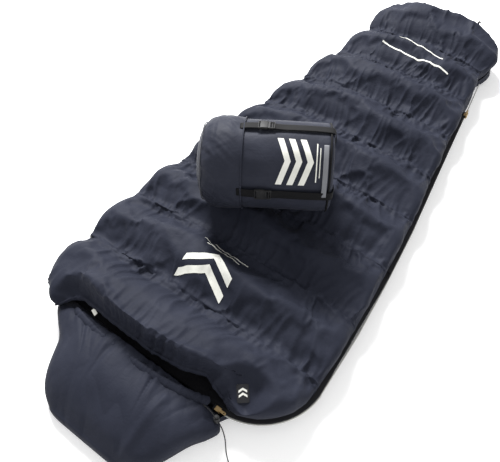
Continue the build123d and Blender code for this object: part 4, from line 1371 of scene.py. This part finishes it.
def chevrons(centre, size, thickness, count, pitch, flip=1):
    """The corners of a row of nested chevrons."""
    x, y = centre
    shapes = []
    for number in range(count):
        base = y + flip * (number - (count - 1) / 2) * pitch
        tip = base - flip * size * 0.55
        for side in (-1, 1):
            end = x + side * size
            shapes.append(((x, base), (end, tip), (end, tip - flip * thickness), (x, base - flip * thickness)))
    return shapes


def down_ray(place):
    """Straight down on the quilt."""
    return (place[0], place[1], 0.5), (0, 0, -1)


def inward_ray(place):
    """Towards the sack's axis; the two measures are the place along it and the arc round it."""
    angle = place[1] / SACK_RADIUS
    start = sack_point(place[0], angle, 0.2)
    centre = np.array(SACK_CENTRE) + place[0] * np.array(SACK_DIR)
    return start, centre - start


def make_prints():
    """Chevrons and bars in place of the marks on the quilt and the sack."""
    tree = surface_of(TOP)
    chest = chevrons((-0.004, -0.510), 0.078, 0.021, 2, 0.040)
    chest += [bar((-0.006, -0.470), 0.110, 0.004), bar((-0.006, -0.456), 0.150, 0.003)]
    foot = [bar((0.016, 0.653), 0.280, 0.0050, -0.10), bar((0.016, 0.697), 0.190, 0.0035, -0.13)]
    for name, shapes in (("chest_print", chest), ("foot_print", foot)):
        piece = join(name, [printed_patch(shape, down_ray, tree) for shape in shapes])
        finish_piece(piece, PRINT)
        follow_fold(piece)
    tree = surface_of(bpy.data.objects["sack_body_cloth"])
    middle = SACK_PRINT_ANGLE * SACK_RADIUS
    sack = []
    for s in (0.052, 0.082, 0.112):
        for side in (-1, 1):
            tip = middle + side * 0.062
            sack.append(((s, middle), (s - 0.022, tip), (s - 0.006, tip), (s + 0.016, middle)))
    for s, half, width in ((0.134, 0.052, 0.003), (0.143, 0.040, 0.002)):
        sack.append(((s, middle - half), (s, middle + half), (s + width, middle + half), (s + width, middle - half)))
    piece = join("sack_print", [printed_patch(shape, inward_ray, tree) for shape in sack])
    finish_piece(piece, PRINT, "sack")


def make_tab_mark():
    """A generic chevron mark on the zip's hook-and-loop tab, square to the tab."""
    low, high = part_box("zip_end_tab")
    centre = (low + high) / 2
    across = -Vector(JOINTS["zip_tab_lift"]["axis"])
    onwards = Vector((-across.y, across.x, 0))

    def tab_ray(place):
        spot = centre + across * place[0] + onwards * place[1]
        return (spot.x, spot.y, 0.3), (0, 0, -1)

    tree = surface_of(NODES["zip_end_tab"])
    shapes = chevrons((0, 0.007), 0.0105, 0.005, 2, 0.010)
    mark = join("tab_mark", [printed_patch(shape, tab_ray, tree, 0.002) for shape in shapes])
    finish_piece(mark, PRINT, "zip_tab")


def make_care_label():
    """A small blank label sewn inside the opening, on its left."""
    axes = ((0.94, -0.34, 0), (0.30, 0.83, 0.47), (-0.16, -0.44, 0.88))
    label = rounded_box("care_label", (-0.186, -0.7985, 0.101), axes, (0.020, 0.011, 0.0012), 0.0004)
    finish_piece(label, PRINT, "root")


make_prints()
make_tab_mark()
make_care_label()

# ---------------------------------------------------------------- CAD pieces that show as they are
SHOWN_NODES = {
    "zip_tape_lower": TAPE,
    "zip_tape_upper": TAPE,
    "zip_tape_flap": TAPE,
    "upper_slider": BRASS,
    "lower_slider": BRASS,
    "upper_zip_pull": BRASS,
    "lower_zip_pull": BRASS,
    "zip_stops": PLASTIC,
    "cord_lock_barrel": PLASTIC,
    "cord_lock_plunger": PLASTIC,
    "zip_tab_hook_patch": HOOK,
    "zip_end_tab": HOOK,
    "foot_hang_loops": WEBBING,
}
for node_name, material in SHOWN_NODES.items():
    data = NODES[node_name].data
    data.materials.clear()
    data.materials.append(material)
